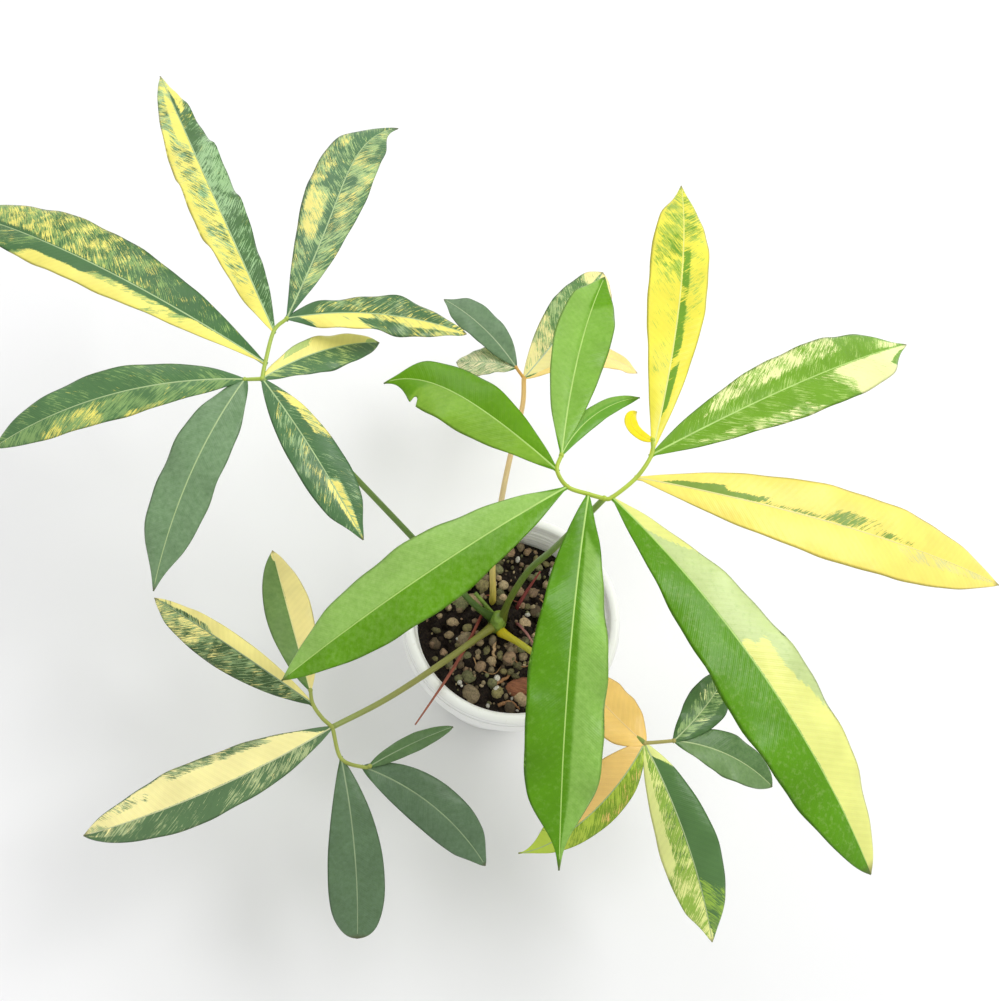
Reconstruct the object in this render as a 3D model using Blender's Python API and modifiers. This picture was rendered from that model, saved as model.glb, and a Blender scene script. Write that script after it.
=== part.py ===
"""A potted philodendron: five compound fronds on a short crown, in peat with stones, in a nursery pot.

The origin is the centre of the pot's underside, with +Z up. Lengths are in metres and angles in degrees.
"""

import math
from collections import namedtuple

import bmesh
import bpy
import numpy as np
from mathutils import Matrix, Vector

COLLECTION_NAME = "potted_philodendron"
CUTTER_COLLECTION_NAME = "cutters"
FIT_GAP = 0.0003  # left between pieces that touch
MERGE = 0.00001

# The pot is turned about +Z, with a rolled lip and a collar that hangs clear of the wall.
POT_HEIGHT = 0.105
POT_WALL = 0.0013
POT_BASE_THICKNESS = 0.0020
POT_BASE_RADIUS = 0.0425
POT_FOOT_CHAMFER = 0.0015
POT_LIP_INNER_RADIUS = 0.0545
POT_LIP_RADIUS = 0.0605
POT_LIP_ROUND = 0.0030
POT_LIP_ANGLES = (160, 125, 90, 55, 20)
POT_LIP_DEPTH = 0.0045
POT_COLLAR_RADIUS = 0.0610
POT_COLLAR_BOTTOM = 0.0880
POT_RIDGE_HEIGHTS = (0.0905, 0.0940, 0.0975)
POT_RIDGE_DEPTH = 0.0005
POT_STEPS = 40
DRAIN_HOLE_COUNT = 6
DRAIN_HOLE_RADIUS = 0.0040
DRAIN_HOLE_CIRCLE = 0.0270
DRAIN_HOLE_SIDES = 12

# The potting mix fills the pot, a little mounded round the crown, with broad lumps.
MIX_LEVEL = 0.0835
MIX_SIDE_GAP = 0.0005
MIX_STEPS = 32
MIX_RINGS = 5
MOUND_HEIGHT = 0.0035
MOUND_RADIUS = 0.0220
BROAD_LUMP = 0.0012
SMALL_LUMP = 0.0008
BROAD_WAVES = (170, 150)  # radians of wave per metre along X and along Y
SMALL_WAVES = (210, 310)

# Pumice and perlite, with a seeded draw for their places and sizes.
STONE_COUNT = 60
STONE_SEED = 11
STONE_LEAST_RADIUS = 0.0020
STONE_MOST_RADIUS = 0.0046
STONE_STRETCH_LEAST = 0.75
STONE_STRETCH_RANGE = 0.50
STONE_FLATNESS = 0.80
STONE_RISE = 0.05  # share of a stone's size that its centre stands above the mix
STONE_SPACING = 0.85  # share of two stones' sizes that parts their centres at least
STONE_ROOM_FROM_CROWN = 0.0150
STONE_ROOM_FROM_WALL = 0.0038

BARK_CENTRE = (0.0130, -0.0330)
BARK_SIZE = (0.0150, 0.0110, 0.0050)
BARK_TURN = 0.6
BARK_RISE = 0.0010
FINE_ROOTS = (
    ((-0.006, -0.012), (-0.005, -0.018), (-0.003, -0.025)),
    ((-0.001, -0.036), (0.004, -0.031), (0.008, -0.026)),
    ((0.004, -0.046), (0.010, -0.043), (0.016, -0.045)),
)
FINE_ROOT_RADIUS = 0.0011
FINE_ROOT_END_RADIUS = 0.0007
FINE_ROOT_RISE = 0.3  # share of its radius that a root's middle lies above the mix

# The crown is an egg-shaped stem with a foot in the mix and one old stub.
CROWN_CENTRE = (-0.007, -0.001, 0.086)
CROWN_RADII = (0.0065, 0.0085, 0.0130)
CROWN_ROOM = 0.0004
CROWN_FOOT_RADIUS = 0.0045
CROWN_FOOT_END_RADIUS = 0.0030
CROWN_FOOT_BOTTOM = 0.0500
STUB_PATH = ((-0.010, 0.003, 0.087), (-0.016, 0.006, 0.092), (-0.023, 0.010, 0.096))
STUB_RADIUS = 0.0014
STUB_END_RADIUS = 0.0011

# Stalks and leaf blades.
STALK_FOOT_RADIUS = 0.0019
STALK_TOP_RADIUS = 0.0014
STALK_SOCKET_POINTS = 6
ARM_RADIUS = 0.0012
ARM_END_RADIUS = 0.0011
HUB_RADIUS = 0.0019
KNOT_RADIUS = 0.0016
BLADE_THICKNESS = 0.0008
BLADE_FOOT_HALF_WIDTH = 0.0010
BLADE_TIP_HALF_WIDTH = 0.0004
BLADE_FOOT_SINK = 0.0010
BLADE_ROWS_PER_METRE = 47
BLADE_END_ROWS = 4
BLADE_LEAST_ROWS = 8
BLADE_COLUMNS = 4
MIDRIB_STEPS = 48
TAIL_START = 0.80  # share of the midrib where a tail starts to draw the outline in
TAIL_REACH = 0.18
HOOK_POWER = 5
MARGIN_DROP = 0.9  # share by which the fold's lift is lost again at the margin
RIPPLES_PER_METRE = 22
LEAST_RIPPLES = 2
RIPPLE_POWER = 1.5
SIDE_PHASE = 0.3  # share of a ripple by which one margin leads and the other lags
LEAFLET_PHASE = 0.37

# A leaflet grows from a point of an arm. Its midrib starts along heading and rise, and turns by sweep
# sideways and by droop downwards on its way to the tip, and by hook sideways close to the tip. Base and tip
# say how slowly the outline opens and closes, roll turns the blade about its midrib, fold lifts the two
# halves from it, and wave is the height of the ripples. Lean is the share by which the left half is wider
# than the mean and the right narrower, and tail the share by which the outline is drawn in at the tip.
Leaflet = namedtuple(
    "Leaflet",
    "arm point length width heading rise droop sweep hook base tip roll fold wave lean tail",
    defaults=(0, 1.0, 0.85, 0, 0.16, 0.0012, 0.0, 0.0),
)

# Each frond has a stalk route from the crown to its hub, and arms that start at the hub.
Frond = namedtuple("Frond", "name finish stalk arms leaflets")

FROND_A = Frond(
    "frond_a",
    "leaf_fresh_green",
    (
        (-0.005, 0.000, 0.091),
        (-0.0038, 0.0045, 0.115),
        (0.0010, 0.0085, 0.152),
        (0.0085, 0.0080, 0.188),
        (0.0150, 0.0095, 0.218),
        (0.0220, 0.0148, 0.240),
    ),
    (
        (
            (0.0220, 0.0148, 0.240),
            (0.0148, 0.0146, 0.241),
            (0.0052, 0.0152, 0.242),
            (-0.0008, 0.0213, 0.243),
            (-0.0004, 0.0285, 0.244),
        ),
        (
            (0.0220, 0.0148, 0.240),
            (0.0252, 0.0158, 0.241),
            (0.0338, 0.0270, 0.243),
            (0.0383, 0.0386, 0.245),
            (0.0375, 0.0455, 0.246),
        ),
    ),
    (
        Leaflet(0, 2, 0.150, 0.034, -133, 6, 38, -1, base=1.1, tip=0.95, roll=6),
        Leaflet(0, 1, 0.159, 0.0335, -88.2, 4, 34, 13, base=0.9, tip=0.62, roll=-4, wave=0.0022, tail=0.8),
        Leaflet(1, 1, 0.196, 0.042, -37.2, 8, 40, -8, base=1.0, tip=0.79, roll=-5, lean=-0.06),
        Leaflet(1, 2, 0.195, 0.036, -0.5, 8, 40, 8, base=1.0, tip=0.85, roll=4, wave=0.0007, tail=0.2),
        Leaflet(1, 3, 0.177, 0.036, 42, 7, 34, 2, base=0.9, tip=0.66, roll=-5, wave=0.0008, tail=0.6),
        Leaflet(1, 3, 0.178, 0.030, 88, 9, 30, 8, base=1.1, tip=0.8, roll=5, wave=0.0009, lean=0.1, tail=0.5),
        Leaflet(1, 4, 0.026, 0.006, 190, 5, 40, -145, base=0.6, tip=0.60, wave=0.0002),
        Leaflet(0, 3, 0.100, 0.029, 149.6, 3, 30, 1, 56, base=1.0, tip=0.70, roll=-5, lean=0.08, tail=0.7),
        Leaflet(0, 4, 0.1125, 0.027, 96, 6, 25, -15, base=1.0, tip=0.70, roll=6, tail=0.4),
        Leaflet(0, 4, 0.055, 0.009, 78, 3, 20, -46, base=0.8, tip=0.80, wave=0.0004),
    ),
)

FROND_B = Frond(
    "frond_b",
    "leaf_marbled_green",
    (
        (-0.0105, 0.000, 0.090),
        (-0.025, 0.001, 0.108),
        (-0.060, 0.013, 0.145),
        (-0.097, 0.026, 0.180),
        (-0.144, 0.046, 0.215),
    ),
    (
        ((-0.144, 0.046, 0.215), (-0.145, 0.054, 0.216), (-0.146, 0.071, 0.218), (-0.142, 0.079, 0.219)),
        ((-0.144, 0.046, 0.215), (-0.1515, 0.0435, 0.215)),
    ),
    (
        Leaflet(0, 2, 0.197, 0.0265, 129, 10, 30, -4, base=0.8, tip=0.95, roll=8, wave=0.0026, lean=0.10),
        Leaflet(0, 3, 0.152, 0.033, 82, 10, 30, 22, -59, tip=0.66, roll=-6, wave=0.0007, lean=0.1, tail=0.6),
        Leaflet(0, 3, 0.092, 0.023, 27, 3, 28, -18, base=0.8, tip=0.75, roll=-5, wave=0.0020),
        Leaflet(0, 0, 0.071, 0.020, 56, -4, 30, -15, base=0.9, tip=0.80, roll=4, lean=-0.15),
        Leaflet(0, 0, 0.092, 0.024, -40, 2, 32, -4, base=0.9, tip=0.72, roll=-5, wave=0.0007, tail=0.4),
        Leaflet(1, 1, 0.109, 0.028, -103, 4, 38, 12, base=0.7, tip=0.74, roll=5, wave=0.0015, tail=0.5),
        Leaflet(1, 1, 0.126, 0.026, -163, 6, 36, 19, base=0.9, tip=0.80, roll=-5, wave=0.0008),
        Leaflet(0, 1, 0.200, 0.037, 163, 10, 36, -2, base=1.0, tip=0.66, roll=6, wave=0.0007, lean=-0.20),
    ),
)

FROND_C = Frond(
    "frond_c",
    "leaf_dark_green",
    ((-0.009, -0.005, 0.090), (-0.032, -0.039, 0.112), (-0.054, -0.067, 0.126), (-0.075, -0.088, 0.134)),
    (
        (
            (-0.075, -0.088, 0.134),
            (-0.081, -0.085, 0.135),
            (-0.087, -0.080, 0.137),
            (-0.090, -0.074, 0.138),
        ),
        (
            (-0.075, -0.088, 0.134),
            (-0.067, -0.101, 0.131),
            (-0.0555, -0.1025, 0.131),
            (-0.0525, -0.1015, 0.132),
        ),
    ),
    (
        Leaflet(0, 2, 0.107, 0.019, 159, 5, 28, 0, base=0.9, tip=0.80, roll=-8, wave=0.0022, lean=0.30),
        Leaflet(0, 3, 0.083, 0.023, 122, 6, 26, -1, base=0.9, tip=0.85, roll=6),
        Leaflet(0, 0, 0.133, 0.030, -133, 5, 34, -24, base=0.9, tip=0.80, roll=5, lean=-0.12),
        Leaflet(1, 1, 0.088, 0.027, -62, -3, 34, -15, base=0.9, tip=0.45, roll=-4),
        Leaflet(1, 2, 0.082, 0.024, -5, -2, 32, -35, base=0.75, tip=0.66, roll=4, tail=0.3),
        Leaflet(1, 3, 0.047, 0.009, 44, 5, 24, -8, base=0.7, tip=0.70, wave=0.0006),
    ),
)

FROND_D = Frond(
    "frond_d",
    "leaf_pale_peach",
    (
        (-0.012, 0.011, 0.074),
        (-0.013, 0.013, 0.092),
        (-0.018, 0.028, 0.110),
        (-0.021, 0.056, 0.126),
        (-0.022, 0.085, 0.132),
        (-0.022, 0.115, 0.131),
        (-0.025, 0.135, 0.128),
    ),
    (((-0.025, 0.135, 0.128), (-0.031, 0.141, 0.128)),),
    (
        Leaflet(0, 1, 0.067, 0.021, 135, 7, 22, 18, base=0.9, tip=0.68, roll=-5, lean=-0.10, tail=0.4),
        Leaflet(0, 1, 0.040, 0.020, 172, -8, 26, 8, base=0.9, tip=0.75, roll=4),
        Leaflet(0, 0, 0.106, 0.033, 64, 8, 28, 15, base=0.9, tip=0.70, roll=6, wave=0.0018),
        Leaflet(0, 0, 0.097, 0.021, 54, 2, 50, -42, base=0.8, tip=0.80, roll=-6),
    ),
)

FROND_E = Frond(
    "frond_e",
    "leaf_mixed_green",
    ((-0.004, -0.006, 0.088), (0.015, -0.019, 0.106), (0.048, -0.041, 0.121), (0.078, -0.058, 0.128)),
    (((0.078, -0.058, 0.128), (0.085, -0.056, 0.129), (0.092, -0.054, 0.131)),),
    (
        Leaflet(0, 0, 0.050, 0.029, 152, 3, 26, -18, base=0.7, tip=0.60, roll=5),
        Leaflet(0, 0, 0.088, 0.026, -107, 1, 32, -36, -20, base=0.9, tip=1.2, roll=-5, lean=-0.25, tail=0.4),
        Leaflet(0, 0, 0.105, 0.030, -52, 2, 36, -9, base=0.9, tip=0.76, roll=5, tail=0.4),
        Leaflet(0, 2, 0.063, 0.023, 10, -3, 26, -34, base=0.9, tip=0.75, roll=-4),
        Leaflet(0, 2, 0.054, 0.021, 53, 3, 26, 16, base=0.9, tip=0.75, roll=5),
    ),
)

FRONDS = (FROND_A, FROND_B, FROND_C, FROND_D, FROND_E)
FROND_BESIDE_CROWN = "frond_d"  # its stalk has its own hole in the mix

# Dried sheaths: each has a route and its radius at the foot and at the tip.
Sheath = namedtuple("Sheath", "name route foot_radius tip_radius")
SHEATHS = (
    Sheath(
        "sheath_long",
        (
            (-0.0165, 0.001, 0.078),
            (-0.0168, -0.001, 0.088),
            (-0.020, -0.017, 0.0925),
            (-0.0245, -0.0355, 0.1015),
            (-0.0275, -0.046, 0.1068),
            (-0.0315, -0.0575, 0.1085),
            (-0.037, -0.072, 0.1075),
        ),
        0.0013,
        0.0005,
    ),
    Sheath(
        "sheath_north",
        ((0.0020, 0.010, 0.078), (0.0025, 0.0115, 0.088), (0.006, 0.021, 0.094), (0.010, 0.030, 0.101)),
        0.0016,
        0.0005,
    ),
    Sheath(
        "sheath_east",
        ((0.0035, 0.002, 0.078), (0.0045, 0.001, 0.087), (0.010, -0.004, 0.091), (0.015, -0.010, 0.094)),
        0.0016,
        0.0005,
    ),
)

# Material name: colour as linear RGB, roughness.
FINISHES = {
    "white_pot_plastic": ((0.86, 0.86, 0.84), 0.40),
    "peat_and_stones": ((0.060, 0.040, 0.025), 0.95),
    "crown_skin": ((0.12, 0.22, 0.035), 0.50),
    "leaf_fresh_green": ((0.12, 0.33, 0.045), 0.35),
    "leaf_marbled_green": ((0.12, 0.22, 0.080), 0.38),
    "leaf_dark_green": ((0.045, 0.11, 0.035), 0.38),
    "leaf_pale_peach": ((0.45, 0.42, 0.16), 0.42),
    "leaf_mixed_green": ((0.16, 0.27, 0.085), 0.40),
    "dried_sheath": ((0.19, 0.045, 0.018), 0.75),
}
SMOOTH_ANGLE = 50
POT_SMOOTH_ANGLE = 35
MIX_SMOOTH_ANGLE = 30


def clear_scene():
    for old in list(bpy.data.objects):
        bpy.data.objects.remove(old, do_unlink=True)


def new_collection(name):
    collection = bpy.data.collections.new(name)
    bpy.context.scene.collection.children.link(collection)
    return collection


def finish_material(name):
    """A Principled material for one of the finishes."""
    material = bpy.data.materials.get(name)
    if material:
        return material
    colour, roughness = FINISHES[name]
    material = bpy.data.materials.new(name)
    material.use_nodes = True
    shader = material.node_tree.nodes["Principled BSDF"]
    shader.inputs["Base Color"].default_value = (*colour, 1.0)
    shader.inputs["Roughness"].default_value = roughness
    shader.inputs["Metallic"].default_value = 0.0
    return material


def paint(shape, finish, smooth_angle=SMOOTH_ANGLE):
    shape.data.materials.clear()
    shape.data.materials.append(finish_material(finish))
    shape.data.shade_smooth()
    shape.data.set_sharp_from_angle(angle=math.radians(smooth_angle))


def add_object(name, data, collection):
    added = bpy.data.objects.new(name, data)
    collection.objects.link(added)
    return added


def weld_shut(mesh):
    """Welds the doubled points of a swept or turned shape and faces it outwards."""
    work = bmesh.new()
    work.from_mesh(mesh)
    bmesh.ops.remove_doubles(work, verts=work.verts, dist=MERGE)
    bmesh.ops.recalc_face_normals(work, faces=work.faces)
    work.to_mesh(mesh)
    work.free()


def as_mesh(source, name, collection, weld=True):
    """The evaluated shape of an object or curve as a plain mesh object, which takes its place."""
    bpy.context.view_layer.update()
    graph = bpy.context.evaluated_depsgraph_get()
    mesh = bpy.data.meshes.new_from_object(source.evaluated_get(graph))
    if weld:
        weld_shut(mesh)
    placed = add_object(name, mesh, collection)
    placed.matrix_world = source.matrix_world.copy()
    bpy.data.objects.remove(source, do_unlink=True)
    placed.name = name
    return placed


def smooth_route(points, steps_per_leg):
    """Points of a Catmull-Rom curve through the route's own points."""
    route = np.array(points, float)
    padded = np.vstack([2 * route[0] - route[1], route, 2 * route[-1] - route[-2]])
    t = np.linspace(0.0, 1.0, steps_per_leg, endpoint=False)[:, None]
    legs = []
    for before, start, end, after in zip(padded, padded[1:], padded[2:], padded[3:]):
        slope = (end - before) * t + (2 * before - 5 * start + 4 * end - after) * t**2
        legs.append(start + 0.5 * (slope + (3 * start - before - 3 * end + after) * t**3))
    return np.vstack([*legs, route[-1:]])


def tube(name, points, foot_radius, tip_radius, collection, sides_setting=2):
    """A round tapering stalk along the points, with filled ends."""
    curve = bpy.data.curves.new(name, "CURVE")
    curve.dimensions = "3D"
    curve.bevel_depth = foot_radius
    curve.bevel_resolution = sides_setting
    curve.use_fill_caps = True
    spline = curve.splines.new("POLY")
    spline.points.add(len(points) - 1)
    shares = np.linspace(1.0, tip_radius / foot_radius, len(points))
    for place, position, share in zip(spline.points, points, shares):
        place.co = (*position, 1.0)
        place.radius = share
    return as_mesh(add_object(name + "_curve", curve, collection), name, collection)


def ball(name, centre, radii, collection, divisions=1, turn=0.0):
    """A faceted ball stretched to three radii and turned about Z."""
    mesh = bpy.data.meshes.new(name)
    work = bmesh.new()
    bmesh.ops.create_icosphere(work, subdivisions=divisions, radius=1.0)
    place = Matrix.Translation(centre) @ Matrix.Rotation(turn, 4, "Z") @ Matrix.Diagonal((*radii, 1.0))
    bmesh.ops.transform(work, matrix=place, verts=work.verts)
    work.to_mesh(mesh)
    work.free()
    return add_object(name, mesh, collection)


def turned(name, profile, steps, collection):
    """The profile of radius and height pairs, turned about Z. It runs down the outer side."""
    mesh = bpy.data.meshes.new(name)
    points = [(radius, 0.0, height) for radius, height in profile]
    mesh.from_pydata(points, [(i, i + 1) for i in range(len(points) - 1)], [])
    shape = add_object(name + "_profile", mesh, collection)
    screw = shape.modifiers.new("turn", "SCREW")
    screw.steps = steps
    screw.render_steps = steps
    screw.use_merge_vertices = True
    screw.merge_threshold = MERGE
    return as_mesh(shape, name, collection)


def join_all(name, pieces, collection):
    """One body from closed pieces that overlap, by a union on a collection, which is then emptied."""
    base = pieces[0]
    others = new_collection(name + "_to_join")
    for piece in pieces[1:]:
        collection.objects.unlink(piece)
        others.objects.link(piece)
    union = base.modifiers.new("join", "BOOLEAN")
    union.operation = "UNION"
    union.operand_type = "COLLECTION"
    union.collection = others
    union.solver = "MANIFOLD"
    joined = as_mesh(base, name, collection, weld=False)
    for piece in list(others.objects):
        bpy.data.objects.remove(piece, do_unlink=True)
    bpy.data.collections.remove(others)
    return joined


def cut_with(shape, cutters, label, solver="EXACT"):
    """Cuts plain holes in the shape with every cutter, which stay in a collection of their own."""
    holes = bpy.data.collections.new(label)
    bpy.data.collections[CUTTER_COLLECTION_NAME].children.link(holes)
    for cutter in cutters:
        cutter.hide_render = True
        cutter.display_type = "WIRE"
        for home in list(cutter.users_collection):
            home.objects.unlink(cutter)
        holes.objects.link(cutter)
    cut = shape.modifiers.new(label, "BOOLEAN")
    cut.operation = "DIFFERENCE"
    cut.operand_type = "COLLECTION"
    cut.collection = holes
    cut.solver = solver


def wall_radius(height):
    """Radius of the pot's inner wall, which tapers from the lip's inner edge to the base."""
    foot = POT_BASE_RADIUS - POT_WALL
    return foot + (POT_LIP_INNER_RADIUS - foot) * height / POT_HEIGHT


def pot_profile():
    """Inner floor, inner wall with its ridges, lip, collar, outer wall and underside."""
    profile = [(0.0, POT_BASE_THICKNESS), (wall_radius(POT_BASE_THICKNESS), POT_BASE_THICKNESS)]
    for height in POT_RIDGE_HEIGHTS:
        radius = wall_radius(height)
        profile += [
            (radius, height - POT_RIDGE_DEPTH),
            (radius - POT_RIDGE_DEPTH, height),
            (radius, height + POT_RIDGE_DEPTH),
        ]
    profile.append((POT_LIP_INNER_RADIUS, POT_HEIGHT - POT_LIP_DEPTH))
    middle = (POT_LIP_INNER_RADIUS + POT_LIP_RADIUS) / 2
    for angle in POT_LIP_ANGLES:
        turn = math.radians(angle)
        height = POT_HEIGHT - POT_LIP_ROUND + POT_LIP_ROUND * math.sin(turn)
        profile.append((middle + POT_LIP_ROUND * math.cos(turn), height))
    under_lip = POT_HEIGHT - POT_LIP_DEPTH - POT_WALL
    profile += [
        (POT_LIP_RADIUS, POT_HEIGHT - POT_LIP_DEPTH),
        (POT_COLLAR_RADIUS, POT_COLLAR_BOTTOM),
        (POT_COLLAR_RADIUS - POT_WALL, POT_COLLAR_BOTTOM),
        (POT_LIP_RADIUS - POT_WALL, under_lip),
        (wall_radius(under_lip) + POT_WALL, under_lip),
        (POT_BASE_RADIUS, POT_FOOT_CHAMFER),
        (POT_BASE_RADIUS - POT_FOOT_CHAMFER, 0.0),
        (0.0, 0.0),
    ]
    return profile


def make_pot(collection):
    pot = turned("pot", pot_profile(), POT_STEPS, collection)
    drills = []
    for index in range(DRAIN_HOLE_COUNT):
        turn = 2 * math.pi * index / DRAIN_HOLE_COUNT
        bpy.ops.mesh.primitive_cylinder_add(
            vertices=DRAIN_HOLE_SIDES,
            radius=DRAIN_HOLE_RADIUS,
            depth=4 * POT_BASE_THICKNESS,
            location=(DRAIN_HOLE_CIRCLE * math.cos(turn), DRAIN_HOLE_CIRCLE * math.sin(turn), 0.0),
        )
        drill = bpy.context.object
        drill.name = f"drain_drill_{index + 1}"
        drills.append(drill)
    cut_with(pot, drills, "drain_holes")
    paint(pot, "white_pot_plastic", POT_SMOOTH_ANGLE)
    return pot


def mix_height(x, y):
    """Height of the potting mix: a low mound at the crown, with waves across the pot for its lumps."""
    away = (x - CROWN_CENTRE[0]) ** 2 + (y - CROWN_CENTRE[1]) ** 2
    mound = MOUND_HEIGHT * math.exp(-away / MOUND_RADIUS**2)
    broad = BROAD_LUMP * math.sin(BROAD_WAVES[0] * x + 1) * math.cos(BROAD_WAVES[1] * y)
    small = SMALL_LUMP * math.sin(SMALL_WAVES[0] * x + SMALL_WAVES[1] * y)
    return MIX_LEVEL + mound + broad + small


def mix_body(collection):
    """The filling as a turned body, with its top raised by the height formula."""
    floor = POT_BASE_THICKNESS + FIT_GAP
    side = wall_radius(MIX_LEVEL) - MIX_SIDE_GAP
    profile = [(side * ring / MIX_RINGS, MIX_LEVEL) for ring in range(MIX_RINGS + 1)]
    profile += [(wall_radius(floor) - MIX_SIDE_GAP, floor), (0.0, floor)]
    body = turned("mix_body", profile, MIX_STEPS, collection)
    for vertex in body.data.vertices:
        place = vertex.co
        if place.z > MIX_LEVEL - MERGE:
            at_side = math.hypot(place.x, place.y) > side - MERGE
            height = mix_height(place.x, place.y)
            place.z = min(height, MIX_LEVEL) if at_side else height
    return body


def scattered_stones(collection):
    """Stones at drawn places, kept apart from each other, the crown and the wall, and sunk in the mix."""
    draw = np.random.default_rng(STONE_SEED)
    reach = wall_radius(MIX_LEVEL)
    placed = []
    stones = []
    while len(stones) < STONE_COUNT:
        away = reach * math.sqrt(draw.random())
        turn = 2 * math.pi * draw.random()
        x, y = away * math.cos(turn), away * math.sin(turn)
        size = STONE_LEAST_RADIUS + (STONE_MOST_RADIUS - STONE_LEAST_RADIUS) * draw.random() ** 2
        stretch = STONE_STRETCH_LEAST + STONE_STRETCH_RANGE * draw.random(3)
        spin = 2 * math.pi * draw.random()
        near_crown = math.hypot(x - CROWN_CENTRE[0], y - CROWN_CENTRE[1]) < STONE_ROOM_FROM_CROWN
        near_wall = away + size * stretch.max() > reach - STONE_ROOM_FROM_WALL + STONE_LEAST_RADIUS
        crowded = any(math.hypot(x - a, y - b) < STONE_SPACING * (size + r) for a, b, r in placed)
        if near_crown or near_wall or crowded:
            continue
        placed.append((x, y, size))
        centre = (x, y, mix_height(x, y) + STONE_RISE * size)
        radii = tuple(size * stretch * (1.0, 1.0, STONE_FLATNESS))
        stones.append(ball(f"stone_{len(stones) + 1}", centre, radii, collection, turn=spin))
    return stones


def fine_roots(collection):
    """Thin roots that lie half sunk on the mix."""
    roots = []
    for index, route in enumerate(FINE_ROOTS):
        points = [(x, y, mix_height(x, y) + FINE_ROOT_RISE * FINE_ROOT_RADIUS) for x, y in route]
        path = smooth_route(points, 3)
        name = f"fine_root_{index + 1}"
        roots.append(tube(name, path, FINE_ROOT_RADIUS, FINE_ROOT_END_RADIUS, collection, sides_setting=1))
    return roots


def bark_chip(collection):
    x, y = BARK_CENTRE
    radii = [side / 2 for side in BARK_SIZE]
    return ball("bark", (x, y, mix_height(x, y) + BARK_RISE), radii, collection, turn=BARK_TURN)


def make_mix(collection):
    pieces = [mix_body(collection), *scattered_stones(collection), *fine_roots(collection)]
    mix = join_all("potting_mix", [*pieces, bark_chip(collection)], collection)
    paint(mix, "peat_and_stones", MIX_SMOOTH_ANGLE)
    return mix


def make_crown(collection):
    x, y, z = CROWN_CENTRE
    egg = ball("egg", CROWN_CENTRE, CROWN_RADII, collection, divisions=3)
    foot_path = [(x, y, z), (x, y, CROWN_FOOT_BOTTOM)]
    foot = tube("foot", foot_path, CROWN_FOOT_RADIUS, CROWN_FOOT_END_RADIUS, collection)
    stub = tube("stub", smooth_route(STUB_PATH, 3), STUB_RADIUS, STUB_END_RADIUS, collection, sides_setting=1)
    crown = join_all("crown", [egg, foot, stub], collection)
    paint(crown, "crown_skin")
    return crown


def turn_along(leaflet, share):
    """The midrib's heading and pitch in radians at a share of its length. Both change evenly, but for the
    hook, a power of the share, which turns the tip further."""
    heading = np.radians(leaflet.heading + leaflet.sweep * share + leaflet.hook * share**HOOK_POWER)
    pitch = np.radians(leaflet.rise - leaflet.droop * share)
    return heading, pitch


def along_midrib(heading, pitch):
    """Unit steps with the given headings and pitches."""
    return np.stack([np.cos(pitch) * np.cos(heading), np.cos(pitch) * np.sin(heading), np.sin(pitch)], 1)


def midrib(leaflet, foot, shares):
    """Places along the midrib at shares of its length: the sum of its unit steps."""
    middles = (np.arange(MIDRIB_STEPS) + 0.5) / MIDRIB_STEPS
    steps = along_midrib(*turn_along(leaflet, middles)) * leaflet.length / MIDRIB_STEPS
    places = np.vstack([np.zeros(3), np.cumsum(steps, 0)])
    ends = np.linspace(0.0, 1.0, MIDRIB_STEPS + 1)
    start = np.array(foot) - BLADE_FOOT_SINK * steps[0] / np.linalg.norm(steps[0])
    return start + np.stack([np.interp(shares, ends, places[:, axis]) for axis in range(3)], 1)


def outline(leaflet, share):
    """A power curve that opens at the foot, is 1 at its widest and closes at the tip. The tail draws it in
    before the tip, by a smooth step, so that a narrow point is left."""
    opens, closes = leaflet.base, leaflet.tip
    widest = opens / (opens + closes)
    curve = share**opens * (1 - share) ** closes / (widest**opens * (1 - widest) ** closes)
    step = np.clip((share - TAIL_START) / TAIL_REACH, 0.0, 1.0)
    return curve * (1 - leaflet.tail * step**2 * (3 - 2 * step))


def blade_grid(leaflet, foot, rows, columns, phase):
    """The blade's middle surface as rows by columns of points: the midrib, plus the half width across it,
    plus a lift that folds the halves up and turns their margins down, plus ripples along the margins."""
    share = np.linspace(0.0, 1.0, rows)
    heading, pitch = turn_along(leaflet, share)
    along = along_midrib(heading, pitch)
    level = np.stack([-np.sin(heading), np.cos(heading), np.zeros(rows)], 1)
    above = np.cross(along, level)
    roll = math.radians(leaflet.roll)
    side = level * math.cos(roll) + above * math.sin(roll)
    up = above * math.cos(roll) - level * math.sin(roll)
    open_share = outline(leaflet, share)
    least = BLADE_FOOT_HALF_WIDTH * (1 - share) + BLADE_TIP_HALF_WIDTH * share
    half = np.maximum(leaflet.width / 2 * open_share, least)[:, None]
    across = np.linspace(-1.0, 1.0, columns + 1)
    ripples = max(LEAST_RIPPLES, RIPPLES_PER_METRE * leaflet.length)
    ripple = np.sin(2 * math.pi * (ripples * share[:, None] + phase + SIDE_PHASE * np.sign(across)))
    lift = half * leaflet.fold * (np.abs(across) - MARGIN_DROP * across**2)
    lift = lift + leaflet.wave * open_share[:, None] * np.abs(across) ** RIPPLE_POWER * ripple
    sideways = half * (across + leaflet.lean * np.abs(across))
    centre = midrib(leaflet, foot, share)[:, None]
    return centre + sideways[..., None] * side[:, None] + lift[..., None] * up[:, None]


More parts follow.
